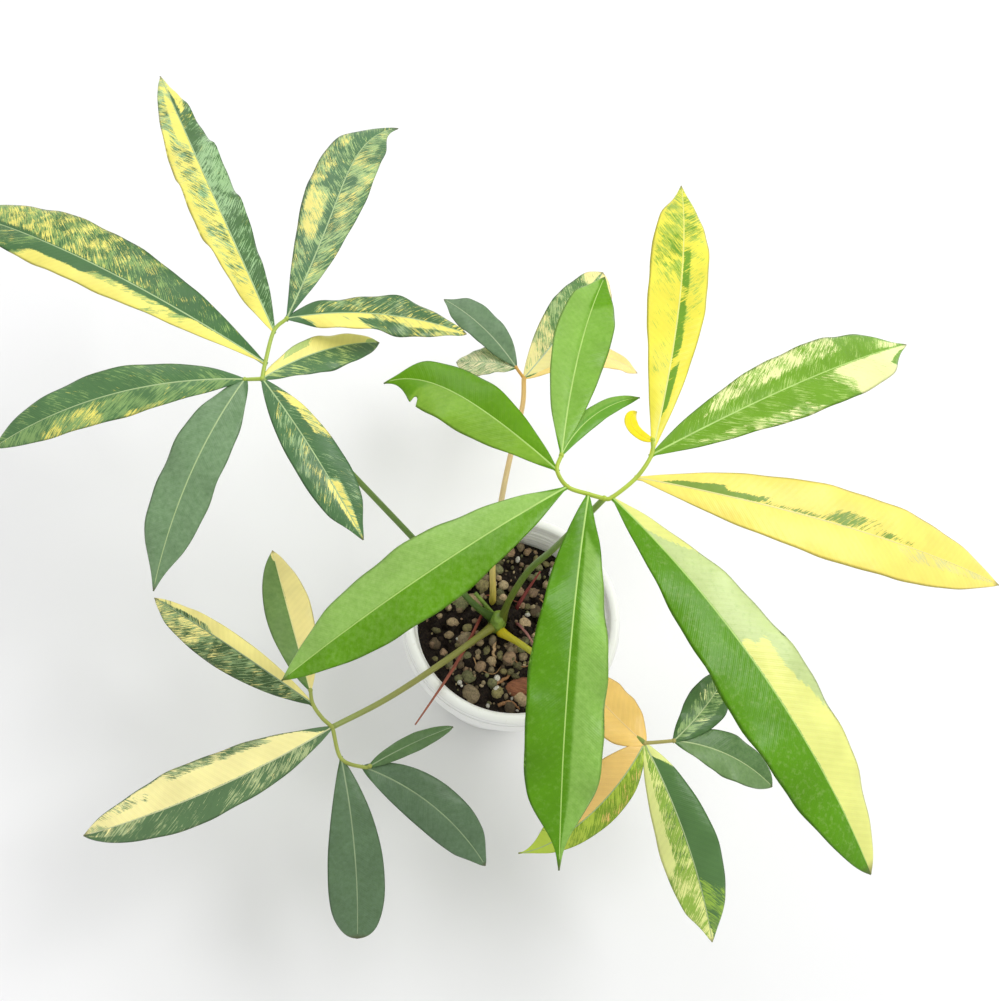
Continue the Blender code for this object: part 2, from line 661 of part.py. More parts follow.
def make_blade(name, leaflet, foot, phase, collection):
    """A closed thin blade: triangles on the middle surface, given their thickness alike on both faces."""
    rows = max(BLADE_LEAST_ROWS, round(BLADE_END_ROWS + leaflet.length * BLADE_ROWS_PER_METRE))
    grid = blade_grid(leaflet, foot, rows, BLADE_COLUMNS, phase)
    wide = BLADE_COLUMNS + 1
    faces = []
    for row in range(rows - 1):
        for column in range(BLADE_COLUMNS):
            near_right = row * wide + column
            near_left = near_right + 1
            far_right = near_right + wide
            far_left = far_right + 1
            faces += [(near_right, far_right, far_left), (near_right, far_left, near_left)]
    mesh = bpy.data.meshes.new(name)
    mesh.from_pydata(grid.reshape(-1, 3).tolist(), [], faces)
    blade = add_object(name + "_surface", mesh, collection)
    skin = blade.modifiers.new("thickness", "SOLIDIFY")
    skin.thickness = BLADE_THICKNESS
    skin.offset = 0.0
    return as_mesh(blade, name, collection)


def make_frond(frond, collection):
    """A stalk, its arms with a knot where leaflets sit, and the leaflets, all grown as one body."""
    route = smooth_route(frond.stalk, 3)
    pieces = [
        tube(frond.name + "_stalk", route, STALK_FOOT_RADIUS, STALK_TOP_RADIUS, collection),
        ball(frond.name + "_hub", Vector(frond.stalk[-1]), (HUB_RADIUS,) * 3, collection),
    ]
    for number, arm in enumerate(frond.arms):
        label = f"{frond.name}_arm_{number + 1}"
        arm_route = smooth_route(arm, 2)
        pieces.append(tube(label, arm_route, ARM_RADIUS, ARM_END_RADIUS, collection, sides_setting=1))
        pieces.append(ball(label + "_knot", Vector(arm[-1]), (KNOT_RADIUS,) * 3, collection))
    for number, leaflet in enumerate(frond.leaflets):
        foot = frond.arms[leaflet.arm][leaflet.point]
        name = f"{frond.name}_leaflet_{number + 1}"
        pieces.append(make_blade(name, leaflet, foot, LEAFLET_PHASE * number, collection))
    body = join_all(frond.name, pieces, collection)
    paint(body, frond.finish)
    return body


def make_sheath(sheath, collection):
    route = smooth_route(sheath.route, 3)
    body = tube(sheath.name, route, sheath.foot_radius, sheath.tip_radius, collection, sides_setting=1)
    paint(body, "dried_sheath")
    return body


def stalk_clearance(name, route, radius, collection):
    """A cutter a gap wider than the foot of a stalk, starting a gap below it."""
    points = smooth_route(route, 3)
    down = points[0] - points[1]
    start = points[0] + down / np.linalg.norm(down) * FIT_GAP
    path = np.vstack([start, points[1:STALK_SOCKET_POINTS]])
    return tube(name, path, radius + FIT_GAP, radius + FIT_GAP, collection)


def crown_clearance(collection):
    """The crown's own shape, a gap larger all round."""
    x, y, z = CROWN_CENTRE
    radii = [radius + CROWN_ROOM for radius in CROWN_RADII]
    egg = ball("crown_room", CROWN_CENTRE, radii, collection, divisions=3)
    foot_path = [(x, y, z), (x, y, CROWN_FOOT_BOTTOM - FIT_GAP)]
    foot_radii = CROWN_FOOT_RADIUS + FIT_GAP, CROWN_FOOT_END_RADIUS + FIT_GAP
    foot = tube("foot_room", foot_path, *foot_radii, collection)
    stub_radii = STUB_RADIUS + FIT_GAP, STUB_RADIUS + FIT_GAP
    stub = tube("stub_room", smooth_route(STUB_PATH, 3), *stub_radii, collection)
    return [egg, foot, stub]


def build():
    clear_scene()
    parts = new_collection(COLLECTION_NAME)
    new_collection(CUTTER_COLLECTION_NAME)
    mix = make_mix(parts)
    crown = make_crown(parts)
    sockets = []
    holes = crown_clearance(parts)
    for frond in FRONDS:
        make_frond(frond, parts)
        holes.append(stalk_clearance(f"{frond.name}_room", frond.stalk, STALK_FOOT_RADIUS, parts))
        if frond.name != FROND_BESIDE_CROWN:
            name = f"{frond.name}_socket"
            sockets.append(stalk_clearance(name, frond.stalk, STALK_FOOT_RADIUS, parts))
    for sheath in SHEATHS:
        make_sheath(sheath, parts)
        holes.append(stalk_clearance(f"{sheath.name}_room", sheath.route, sheath.foot_radius, parts))
    make_pot(parts)
    cut_with(crown, sockets, "stalk_sockets")
    cut_with(mix, holes, "stem_holes", solver="MANIFOLD")


build()
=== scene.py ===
"""A potted philodendron with marbled leaves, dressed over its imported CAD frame.

The script is laid out as a Blender add-on and is run as a script. Lengths are in metres, angles in degrees.
"""

import math
from collections import namedtuple

import bpy
import numpy as np
from mathutils import Matrix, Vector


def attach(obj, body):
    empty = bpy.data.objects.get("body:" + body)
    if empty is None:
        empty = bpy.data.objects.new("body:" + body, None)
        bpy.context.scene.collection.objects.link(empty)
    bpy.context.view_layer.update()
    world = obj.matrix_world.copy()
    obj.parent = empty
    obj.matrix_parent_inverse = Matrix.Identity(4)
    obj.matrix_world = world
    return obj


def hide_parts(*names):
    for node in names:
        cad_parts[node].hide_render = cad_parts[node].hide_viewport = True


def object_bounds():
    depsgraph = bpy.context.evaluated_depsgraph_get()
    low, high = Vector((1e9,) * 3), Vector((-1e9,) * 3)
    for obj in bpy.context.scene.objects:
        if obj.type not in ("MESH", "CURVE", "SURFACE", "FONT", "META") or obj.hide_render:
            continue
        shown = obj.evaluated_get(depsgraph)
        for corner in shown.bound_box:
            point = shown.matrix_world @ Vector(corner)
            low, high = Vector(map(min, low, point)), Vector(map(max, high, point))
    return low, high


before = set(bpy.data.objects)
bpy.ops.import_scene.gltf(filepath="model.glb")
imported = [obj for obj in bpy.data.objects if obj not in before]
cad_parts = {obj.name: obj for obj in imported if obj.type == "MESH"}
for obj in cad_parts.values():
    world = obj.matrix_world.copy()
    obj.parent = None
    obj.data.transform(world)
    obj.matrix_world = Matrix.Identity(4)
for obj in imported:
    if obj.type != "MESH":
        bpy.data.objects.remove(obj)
CAD_LOW, CAD_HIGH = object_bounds()

bl_info = {
    "name": "Potted philodendron",
    "version": (1, 0, 0),
    "blender": (4, 5, 0),
    "location": "3D View > Sidebar > Philodendron",
    "description": "Builds a potted philodendron with marbled compound leaves",
    "category": "Add Mesh",
}

ROOT_BODY = "root"
MILLIMETRE = 0.001

# The photograph's view, worked out from the pot's lip and base.
CAMERA_PLACE = (-0.02198, -0.17985, 0.62916)
CAMERA_TILT = 25.05
CAMERA_TURN = 13.66
CAMERA_LENS = 36.07
CAMERA_SENSOR = 36.0

# A broad key light from the upper right, and a softbox behind the plant for the sheen on its leaves.
KEY_PLACE = (1.2, 0.7, 2.1)
KEY_SIZE = 1.3
SHEEN_PLACE = (-0.9, 1.3, 1.5)
SHEEN_SIZE = 1.2

# The pot's turned wall.
POT_HEIGHT = 0.105
POT_WALL = 0.0013
POT_BASE_THICKNESS = 0.0020
POT_BASE_RADIUS = 0.0425
POT_FOOT_ROUND = 0.0015
POT_LIP_INNER_RADIUS = 0.0545
POT_LIP_RADIUS = 0.0605
POT_LIP_ROUND = 0.0030
POT_LIP_DEPTH = 0.0045
POT_COLLAR_RADIUS = 0.0610
POT_COLLAR_BOTTOM = 0.0880
POT_RIDGE_HEIGHTS = (0.0905, 0.0940, 0.0975)
POT_RIDGE_DEPTH = 0.0005
POT_GROOVE_DEPTH = 0.0006
POT_RING_SHADE_SPACING = 0.0021  # between the thin bands of painted shade that stand for the fine rings the mould leaves round the wall
POT_GROOVE_HALF_HEIGHT = 0.0005
DRAIN_HOLE_COUNT = 6
DRAIN_HOLE_RADIUS = 0.0040
DRAIN_HOLE_CIRCLE = 0.0270

# The potting mix and its stones, placed by the same seeded rule as in the source.
FIT_GAP = 0.0003
MIX_LEVEL = 0.0835
MIX_SIDE_GAP = 0.0005
MOUND_HEIGHT = 0.0035
MOUND_RADIUS = 0.0220
BROAD_LUMP = 0.0012
SMALL_LUMP = 0.0008
BROAD_WAVES = (170, 150)
SMALL_WAVES = (210, 310)
STONE_COUNT = 60
STONE_SEED = 11
STONE_LEAST_RADIUS = 0.0020
STONE_MOST_RADIUS = 0.0046
STONE_STRETCH_LEAST = 0.75
STONE_STRETCH_RANGE = 0.50
STONE_FLATNESS = 0.80
STONE_RISE = 0.05
STONE_SPACING = 0.85
STONE_ROOM_FROM_CROWN = 0.0150
STONE_ROOM_FROM_WALL = 0.0038
GRIT_SEED = 29
GRIT_LEAST_RADIUS = 0.0006
GRIT_MOST_RADIUS = 0.0031
PERLITE_SHARE = 0.07
CRUMB_SEED = 5
CRUMB_WAVES = 26
CRUMB_SHORTEST = 0.0022
CRUMB_LONGEST = 0.0110
CRUMB_HEIGHT = 0.050  # share of its own length that a wave of crumbs is high
STONE_SWELL = 1.15  # how much larger a stone is than its plainer one in the source
STONE_TONES = ("#A08B6A", "#8C7C62", "#B8A07E", "#76704C", "#A08468", "#7B7A55", "#C2AE8A", "#6A5A44", "#8E8458")
PERLITE_TONE = "#E9E4DA"
BARK_CENTRE = (0.0130, -0.0330)
BARK_SIZE = (0.0150, 0.0110, 0.0050)
BARK_TURN = 34.0
BARK_RISE = 0.0010
Root = namedtuple("Root", "tone radius end_radius rise route")
ROOTS = (
    Root("#C9A67E", 0.0011, 0.0007, 0.3, ((-0.006, -0.012), (-0.005, -0.018), (-0.003, -0.025))),
    Root("#A8794F", 0.0011, 0.0007, 0.3, ((-0.001, -0.036), (0.004, -0.031), (0.008, -0.026))),
    Root("#9A6E48", 0.0011, 0.0007, 0.3, ((0.004, -0.046), (0.010, -0.043), (0.016, -0.045))),
    Root("#8A4A33", 0.0005, 0.0003, 1.6, ((-0.0300, 0.0020), (-0.0190, 0.0120), (-0.004, 0.0150), (0.016, 0.0130))),
    Root("#B08A5E", 0.0004, 0.0002, 1.8, ((-0.018, -0.020), (-0.012, -0.028), (-0.003, -0.030), (0.002, -0.022))),
    Root("#A67C50", 0.0004, 0.0002, 1.8, ((0.006, -0.018), (0.012, -0.022), (0.019, -0.019), (0.027, -0.024))),
    Root("#8E6A46", 0.0004, 0.0002, 1.8, ((-0.022, -0.034), (-0.014, -0.040), (-0.010, -0.047))),
    Root("#B48E62", 0.0004, 0.0002, 1.8, ((0.014, 0.020), (0.022, 0.014), (0.030, 0.018), (0.038, 0.012))),
)

# The crown with its old stub.
CROWN_CENTRE = (-0.007, -0.001, 0.086)
CROWN_RADII = (0.0052, 0.0068, 0.0122)
CROWN_FOOT_RADIUS = 0.0045
CROWN_FOOT_BOTTOM = 0.0500
STUB_PATH = ((-0.010, 0.003, 0.087), (-0.016, 0.006, 0.092), (-0.023, 0.010, 0.096))
STUB_RADIUS = 0.0014
STUB_END_RADIUS = 0.0011

# Stalks and leaf blades, by the same rule as in the source but finer.
STALK_FOOT_RADIUS = 0.0019
STALK_TOP_RADIUS = 0.0014
ARM_RADIUS = 0.0010
ARM_END_RADIUS = 0.0009
HUB_RADIUS = 0.0014
KNOT_RADIUS = 0.0012
FLARE = 0.0013  # how much wider a stalk is where it leaves the crown
FLARE_LENGTH = 0.007
RIB_FOOT_RADIUS = 0.0010
RIB_TIP_RADIUS = 0.00025
RIB_TOP = 0.00042  # height of the rib's crest above the blade's middle surface
RIB_WIDE_LEAF = 0.034  # width of a leaflet whose rib has the full radius
BLADE_THICKNESS = 0.0005
BLADE_FOOT_HALF_WIDTH = 0.0010
BLADE_TIP_HALF_WIDTH = 0.0004
BLADE_FOOT_SINK = 0.0010
BLADE_ROWS = 84
BLADE_COLUMNS = 26
MIDRIB_STEPS = 48
TAIL_START = 0.80  # share of the midrib where a tail starts to draw the outline in
TAIL_REACH = 0.18
HOOK_POWER = 5
MARGIN_DROP = 0.9
RIPPLES_PER_METRE = 22
LEAST_RIPPLES = 2
RIPPLE_POWER = 1.5
CRINKLES = 2.3  # short waves of the margin for each ripple
CRINKLE_HEIGHT = 0.40  # of the ripple
SIDE_PHASE = 0.3
LEAFLET_PHASE = 0.37
VEIN_SLOPE = 0.8  # how far a side vein runs towards the tip for each step away from the midrib
STREAK_SLOPE = 1.0
STREAK_BEND = 30.0  # how much steeper a streak's slope gets for each metre away from the midrib
TIP_DARK_START = 0.965
TIP_DARK_REACH = 0.03

LEFT, RIGHT, BOTH = 1, -1, 0
Leaflet = namedtuple(
    "Leaflet",
    "arm point length width heading rise droop sweep hook base tip roll fold wave lean tail",
    defaults=(0, 1.0, 0.85, 0, 0.16, 0.0012, 0.0, 0.0),
)

# A patch of a leaflet's marking, painted over the ones before it; on frond_a's plain leaflets a pale patch is painted
# sheen instead. It lies on one half or both, between two shares of the midrib and two shares of the half's width. Cream
# and pale are how much of it is cream or pale green, slant how far its ends run towards the tip at the margin, and soft
# how ragged they are.
Patch = namedtuple("Patch", "side start end inner outer cream pale slant soft", defaults=(0.10, 0.04))

# The three colours of a leaflet, the patches on it and how streaky its pale green is: at 0 it fades and is
# only mottled. On frond_a's plain leaflets the pale colour is painted sheen. The rib has the frond's own tone where
# none is given here.
Look = namedtuple("Look", "deep pale cream patches ragged rib", defaults=(1.0, None))


def linear(code):
    """Linear red, green and blue of an sRGB hex colour."""
    shares = [int(code[place : place + 2], 16) / 255 for place in (1, 3, 5)]
    return tuple(s / 12.92 if s <= 0.04045 else ((s + 0.055) / 1.055) ** 2.4 for s in shares)


# A frond's stalk tones run from its foot to its hub.
Frond = namedtuple("Frond", "name slot stalk_tones arm_tone rib_tone stalk arms leaflets looks")

FROND_A = Frond(
    "frond_a",
    "fresh_leaf",
    ("#66702A", "#5C7A26", "#7E9C34"),
    "#A8BE3C",
    "#A9CB6A",
    (
        (-0.005, 0.000, 0.091),
        (-0.0038, 0.0045, 0.115),
        (0.0010, 0.0085, 0.152),
        (0.0085, 0.0080, 0.188),
        (0.0150, 0.0095, 0.218),
        (0.0220, 0.0148, 0.240),
    ),
    (
        (
            (0.0220, 0.0148, 0.240),
            (0.0148, 0.0146, 0.241),
            (0.0052, 0.0152, 0.242),
            (-0.0008, 0.0213, 0.243),
            (-0.0004, 0.0285, 0.244),
        ),
        (
            (0.0220, 0.0148, 0.240),
            (0.0252, 0.0158, 0.241),
            (0.0338, 0.0270, 0.243),
            (0.0383, 0.0386, 0.245),
            (0.0375, 0.0455, 0.246),
        ),
    ),
    (
        Leaflet(0, 2, 0.150, 0.034, -133, 6, 38, -1, base=1.1, tip=0.95, roll=6),
        Leaflet(0, 1, 0.159, 0.0335, -88.2, 4, 34, 13, base=0.9, tip=0.62, roll=-4, wave=0.0022, tail=0.8),
        Leaflet(1, 1, 0.196, 0.042, -37.2, 8, 40, -8, base=1.0, tip=0.79, roll=-5, lean=-0.06),
        Leaflet(1, 2, 0.195, 0.036, -0.5, 8, 40, 8, base=1.0, tip=0.85, roll=4, wave=0.0007, tail=0.2),
        Leaflet(1, 3, 0.177, 0.036, 42, 7, 34, 2, base=0.9, tip=0.66, roll=-5, wave=0.0008, tail=0.6),
        Leaflet(1, 3, 0.178, 0.030, 88, 9, 30, 8, base=1.1, tip=0.8, roll=5, wave=0.0009, lean=0.1, tail=0.5),
        Leaflet(1, 4, 0.026, 0.006, 190, 5, 40, -145, base=0.6, tip=0.60, wave=0.0002),
        Leaflet(0, 3, 0.100, 0.029, 149.6, 3, 30, 1, 56, base=1.0, tip=0.70, roll=-5, lean=0.08, tail=0.7),
        Leaflet(0, 4, 0.1125, 0.027, 96, 6, 25, -15, base=1.0, tip=0.70, roll=6, tail=0.4),
        Leaflet(0, 4, 0.055, 0.009, 78, 3, 20, -46, base=0.8, tip=0.80, wave=0.0004),
    ),
    (
        # Painted sheen: this leaflet's pale green, most of it on its right half, stands for light reflected off the
        # blade, not for a marking.
        Look(
            "#5A9006",
            "#9CC268",
            "#F2EC8A",
            (Patch(BOTH, 0, 1, 0, 1.1, 0, 0.10), Patch(RIGHT, 0, 1, 0, 1.1, 0, 0.72)),
            0,
        ),
        # Painted sheen: the pale green on this leaflet's left half stands for light reflected off that half, not for a
        # marking.
        Look(
            "#528806",
            "#94BE5E",
            "#F2EC8A",
            (Patch(LEFT, 0.1, 1, 0.2, 1.1, 0, 0.66),),
            0,
        ),
        Look(
            "#548C06",
            "#BFD08C",
            "#DEE182",
            (
                Patch(LEFT, -0.3, 1.3, 0, 1.1, 0, 1, soft=0.01),
                Patch(LEFT, -0.3, 0.10, 0, 1.1, 1, 1, slant=0.12, soft=0.008),
                Patch(LEFT, 0.42, 1.3, 0, 0.56, 1, 1, slant=0.05, soft=0.008),
                Patch(LEFT, 0.37, 1.3, 0.5, 1.1, 1, 1, slant=0.29, soft=0.012),
            ),
            0,
        ),
        Look(
            "#7C9A40",
            "#D2CF86",
            "#F0DE6C",
            (
                Patch(BOTH, -0.3, 1.3, 0, 1.1, 1, 0),
                Patch(LEFT, 0.05, 0.17, 0, 0.40, 0, 0, slant=0.1, soft=0.012),
                Patch(LEFT, 0.14, 0.27, 0, 0.24, 0, 0, slant=0.2, soft=0.012),
                Patch(LEFT, 0.26, 0.64, 0, 0.12, 0.42, 0, soft=0.04),
                Patch(LEFT, 0.43, 0.57, 0, 0.42, 0.50, 0, soft=0.05),
                Patch(LEFT, 0.56, 0.68, 0, 0.20, 0.55, 0, soft=0.04),
                Patch(RIGHT, 0.60, 0.98, 0.0, 0.42, 0.50, 1, soft=0.06),
            ),
            rib="#DDD88A",
        ),
        Look(
            "#6C9A24",
            "#9DBE5E",
            "#E4E8A2",
            (
                Patch(BOTH, 0, 1, 0, 1.1, 0.04, 0.3),
                Patch(LEFT, 0.14, 0.64, 0.40, 1.1, 0.44, 0.5, soft=0.05),
                Patch(LEFT, 0.30, 0.58, 0.60, 1.1, 0.56, 0.5, soft=0.05),
                Patch(RIGHT, 0.06, 0.40, 0.60, 1.1, 0.34, 0.4, soft=0.05),
                Patch(RIGHT, 0.54, 0.70, 0.1, 1.1, 0.44, 0.5, soft=0.05),
                Patch(RIGHT, 0.62, 1.1, 0.03, 1.1, 0.90, 1, slant=0.05, soft=0.05),
                Patch(RIGHT, 0.76, 0.88, 0.62, 1.1, 0.12, 0.2, soft=0.03),
                Patch(LEFT, 0.80, 0.92, 0.15, 0.75, 0.46, 0.6, soft=0.03),
            ),
        ),
        Look(
            "#6C9828",
            "#A6BE4E",
            "#E2DA4A",
            (
                Patch(BOTH, -0.3, 1.3, 0, 1.1, 1, 1),
                Patch(LEFT, 0.14, 0.60, 0.05, 0.9, 0.74, 1, soft=0.08),
                Patch(LEFT, 0.50, 0.92, 0, 0.92, 0.46, 0.5, soft=0.10),
                Patch(RIGHT, 0.10, 0.24, 0, 0.45, 0.06, 0, soft=0.02),
                Patch(RIGHT, 0.26, 0.72, 0, 0.34, 0.26, 0, soft=0.05),
                Patch(RIGHT, 0.36, 0.72, 0.30, 0.85, 0.62, 1, soft=0.06),
                Patch(RIGHT, 0.66, 0.96, 0.0, 1.1, 0.54, 0.5, soft=0.08),
                Patch(LEFT, 0.86, 1.1, 0, 1.1, 0.52, 0.6, soft=0.05),
            ),
            rib="#D9DC7E",
        ),
        Look("#E0CC14", "#E6D424", "#EAD81E", (Patch(BOTH, -0.3, 1.3, 0, 1.1, 1, 1),), 0, "#E6D424"),
        # Painted sheen: on these three plain leaflets the pale green that fades in evenly stands for light reflected
        # off the blades, not for a marking.
        Look("#5C9004", "#8AB23C", "#F2EC8A", (Patch(LEFT, 0, 0.75, 0, 1.1, 0, 0.6),), 0),
        Look(
            "#5E9410",
            "#8CB654",
            "#F2EC8A",
            (Patch(BOTH, 0, 0.75, 0, 1.1, 0, 0.5), Patch(LEFT, 0, 0.9, 0.15, 1.1, 0, 0.8)),
            0,
        ),
        Look("#60962A", "#86AE4E", "#F2EC8A", (Patch(LEFT, 0, 1, 0.3, 1.1, 0, 0.5),), 0),
    ),
)

FROND_B = Frond(
    "frond_b",
    "marbled_leaf",
    ("#3F5A22", "#5C7A34", "#8AA458"),
    "#A2B84C",
    "#A9C088",
    (
        (-0.0105, 0.000, 0.090),
        (-0.025, 0.001, 0.108),
        (-0.060, 0.013, 0.145),
        (-0.097, 0.026, 0.180),
        (-0.144, 0.046, 0.215),
    ),
    (
        ((-0.144, 0.046, 0.215), (-0.145, 0.054, 0.216), (-0.146, 0.071, 0.218), (-0.142, 0.079, 0.219)),
        ((-0.144, 0.046, 0.215), (-0.1515, 0.0435, 0.215)),
    ),
    (
        Leaflet(0, 2, 0.197, 0.0265, 129, 10, 30, -4, base=0.8, tip=0.95, roll=8, wave=0.0026, lean=0.10),
        Leaflet(0, 3, 0.152, 0.033, 82, 10, 30, 22, -59, tip=0.66, roll=-6, wave=0.0007, lean=0.1, tail=0.6),
        Leaflet(0, 3, 0.092, 0.023, 27, 3, 28, -18, base=0.8, tip=0.75, roll=-5, wave=0.0020),
        Leaflet(0, 0, 0.071, 0.020, 56, -4, 30, -15, base=0.9, tip=0.80, roll=4, lean=-0.15),
        Leaflet(0, 0, 0.092, 0.024, -40, 2, 32, -4, base=0.9, tip=0.72, roll=-5, wave=0.0007, tail=0.4),
        Leaflet(1, 1, 0.109, 0.028, -103, 4, 38, 12, base=0.7, tip=0.74, roll=5, wave=0.0015, tail=0.5),
        Leaflet(1, 1, 0.126, 0.026, -163, 6, 36, 19, base=0.9, tip=0.80, roll=-5, wave=0.0008),
        Leaflet(0, 1, 0.200, 0.037, 163, 10, 36, -2, base=1.0, tip=0.66, roll=6, wave=0.0007, lean=-0.20),
    ),
    (
        Look(
            "#4C7040",
            "#98BC86",
            "#EDE370",
            (
                Patch(LEFT, -0.3, 1.3, 0, 1.1, 0.85, 1),
                Patch(LEFT, 0.08, 0.62, 0.10, 0.80, 0.48, 0.5, soft=0.08),
                Patch(LEFT, 0.60, 0.86, 0.45, 1.1, 0.38, 0.5, soft=0.05),
                Patch(LEFT, 0.84, 1.1, 0, 1.1, 0.48, 0.6, soft=0.04),
                Patch(RIGHT, -0.3, 1.3, 0, 1.1, 0.06, 0.34),
                Patch(RIGHT, 0.34, 0.60, 0.0, 1.1, 0.05, 0.60, soft=0.08),
                Patch(RIGHT, 0.60, 0.74, 0.0, 1.1, 0.16, 0.3, soft=0.04),
                Patch(RIGHT, 0.74, 0.90, 0.25, 1.1, 0.76, 0.5, soft=0.04),
                Patch(RIGHT, 0.88, 1.1, 0, 1.1, 0.50, 0.7, soft=0.05),
            ),
        ),
        Look(
            "#527650",
            "#A3BE7E",
            "#E6DC7C",
            (
                Patch(BOTH, 0, 1, 0, 1.1, 0.10, 0.34),
                Patch(LEFT, 0.04, 0.30, 0.3, 1.1, 0.30, 0.4, soft=0.06),
                Patch(LEFT, 0.28, 0.48, 0.25, 0.90, 0.60, 0.7, soft=0.06),
                Patch(LEFT, 0.48, 0.76, 0.50, 1.1, 0.38, 0.5, soft=0.05),
                Patch(RIGHT, 0.05, 0.45, 0.1, 1.1, 0.24, 0.46, soft=0.05),
                Patch(RIGHT, 0.38, 0.52, 0.0, 0.75, 0.42, 0.55, soft=0.06),
                Patch(RIGHT, 0.50, 0.62, 0.40, 1.1, 0.38, 0.66, soft=0.06),
                Patch(RIGHT, 0.60, 0.80, 0.0, 0.6, 0.32, 0.56, soft=0.06),
                Patch(RIGHT, 0.78, 1.1, 0.0, 1.1, 0.18, 0.45, soft=0.05),
            ),
        ),
        Look(
            "#4C7046",
            "#9AB47A",
            "#EDE176",
            (
                Patch(LEFT, 0.12, 0.42, 0.1, 1.1, 0.24, 0.35, soft=0.06),
                Patch(LEFT, 0.40, 1.1, 0, 1.1, 0.30, 0.3, soft=0.06),
                Patch(RIGHT, 0.06, 0.46, 0.0, 1.1, 0.86, 1, soft=0.04),
                Patch(RIGHT, 0.34, 0.62, 0.30, 1.1, 0.16, 0.3, soft=0.04),
                Patch(RIGHT, 0.44, 0.66, 0.0, 0.40, 0.48, 0.4, soft=0.05),
                Patch(RIGHT, 0.58, 1.1, 0.0, 0.55, 0.72, 1, soft=0.06),
                Patch(RIGHT, 0.60, 1.1, 0.50, 1.1, 0.42, 0.4, soft=0.06),
            ),
        ),
        Look(
            "#587A50",
            "#B4C878",
            "#EFE587",
            (
                Patch(LEFT, -0.3, 1.3, 0, 1.1, 1, 1, soft=0.02),
                Patch(LEFT, 0.16, 0.38, 0.50, 1.1, 0.1, 0.9, soft=0.03),
                Patch(LEFT, 0.86, 1.1, 0, 1.1, 0.2, 0.9, soft=0.04),
                Patch(RIGHT, 0, 1, 0, 1, 0.03, 0.3),
            ),
        ),
        Look(
            "#50744A",
            "#93B07C",
            "#EDE27C",
            (
                Patch(BOTH, 0, 1, 0, 1, 0.05, 0.20),
                Patch(LEFT, 0.06, 0.36, 0.50, 1.1, 0.62, 0.5, soft=0.05),
                Patch(LEFT, 0.64, 0.98, 0.0, 0.32, 0.66, 1, soft=0.04),
                Patch(RIGHT, 0.16, 0.72, 0.05, 0.7, 0.24, 0.4, soft=0.06),
                Patch(RIGHT, 0.62, 0.98, 0.0, 0.22, 0.60, 0.8, soft=0.04),
            ),
        ),
        Look("#4E7244", "#93AE88", "#F0E886", (Patch(BOTH, 0, 1, 0, 1.1, 0, 0.44),), 0),
        Look(
            "#557A4C",
            "#84A464",
            "#EAE070",
            (
                Patch(RIGHT, 0, 1, 0, 1.1, 0.06, 0.30),
                Patch(LEFT, 0, 1, 0, 1.1, 0.08, 0.50),
                Patch(LEFT, 0.44, 0.72, 0.20, 1.1, 0.38, 0.6, soft=0.06),
                Patch(LEFT, 0.20, 0.38, 0.78, 1.1, 0.40, 0.6, soft=0.04),
            ),
        ),
        Look(
            "#466E3E",
            "#8CAC60",
            "#EBE172",
            (
                Patch(LEFT, -0.3, 0.20, 0.10, 1.1, 0.90, 1, soft=0.04),
                Patch(LEFT, 0.18, 0.45, 0.25, 1.1, 0.52, 0.8, soft=0.06),
                Patch(LEFT, 0.24, 0.62, 0.50, 1.1, 0.95, 1, soft=0.03),
                Patch(LEFT, 0.66, 1.1, 0.0, 1.1, 0.12, 0.3, soft=0.04),
                Patch(RIGHT, 0.0, 0.27, 0, 1.1, 0.10, 0.2, soft=0.06),
                Patch(RIGHT, 0.25, 0.42, 0, 1.1, 0.28, 0.35, soft=0.06),
                Patch(RIGHT, 0.40, 0.70, 0, 1.1, 0.38, 0.45, soft=0.06),
                Patch(RIGHT, 0.68, 1.1, 0.1, 1.1, 0.46, 0.55, soft=0.06),
            ),
        ),
    ),
)

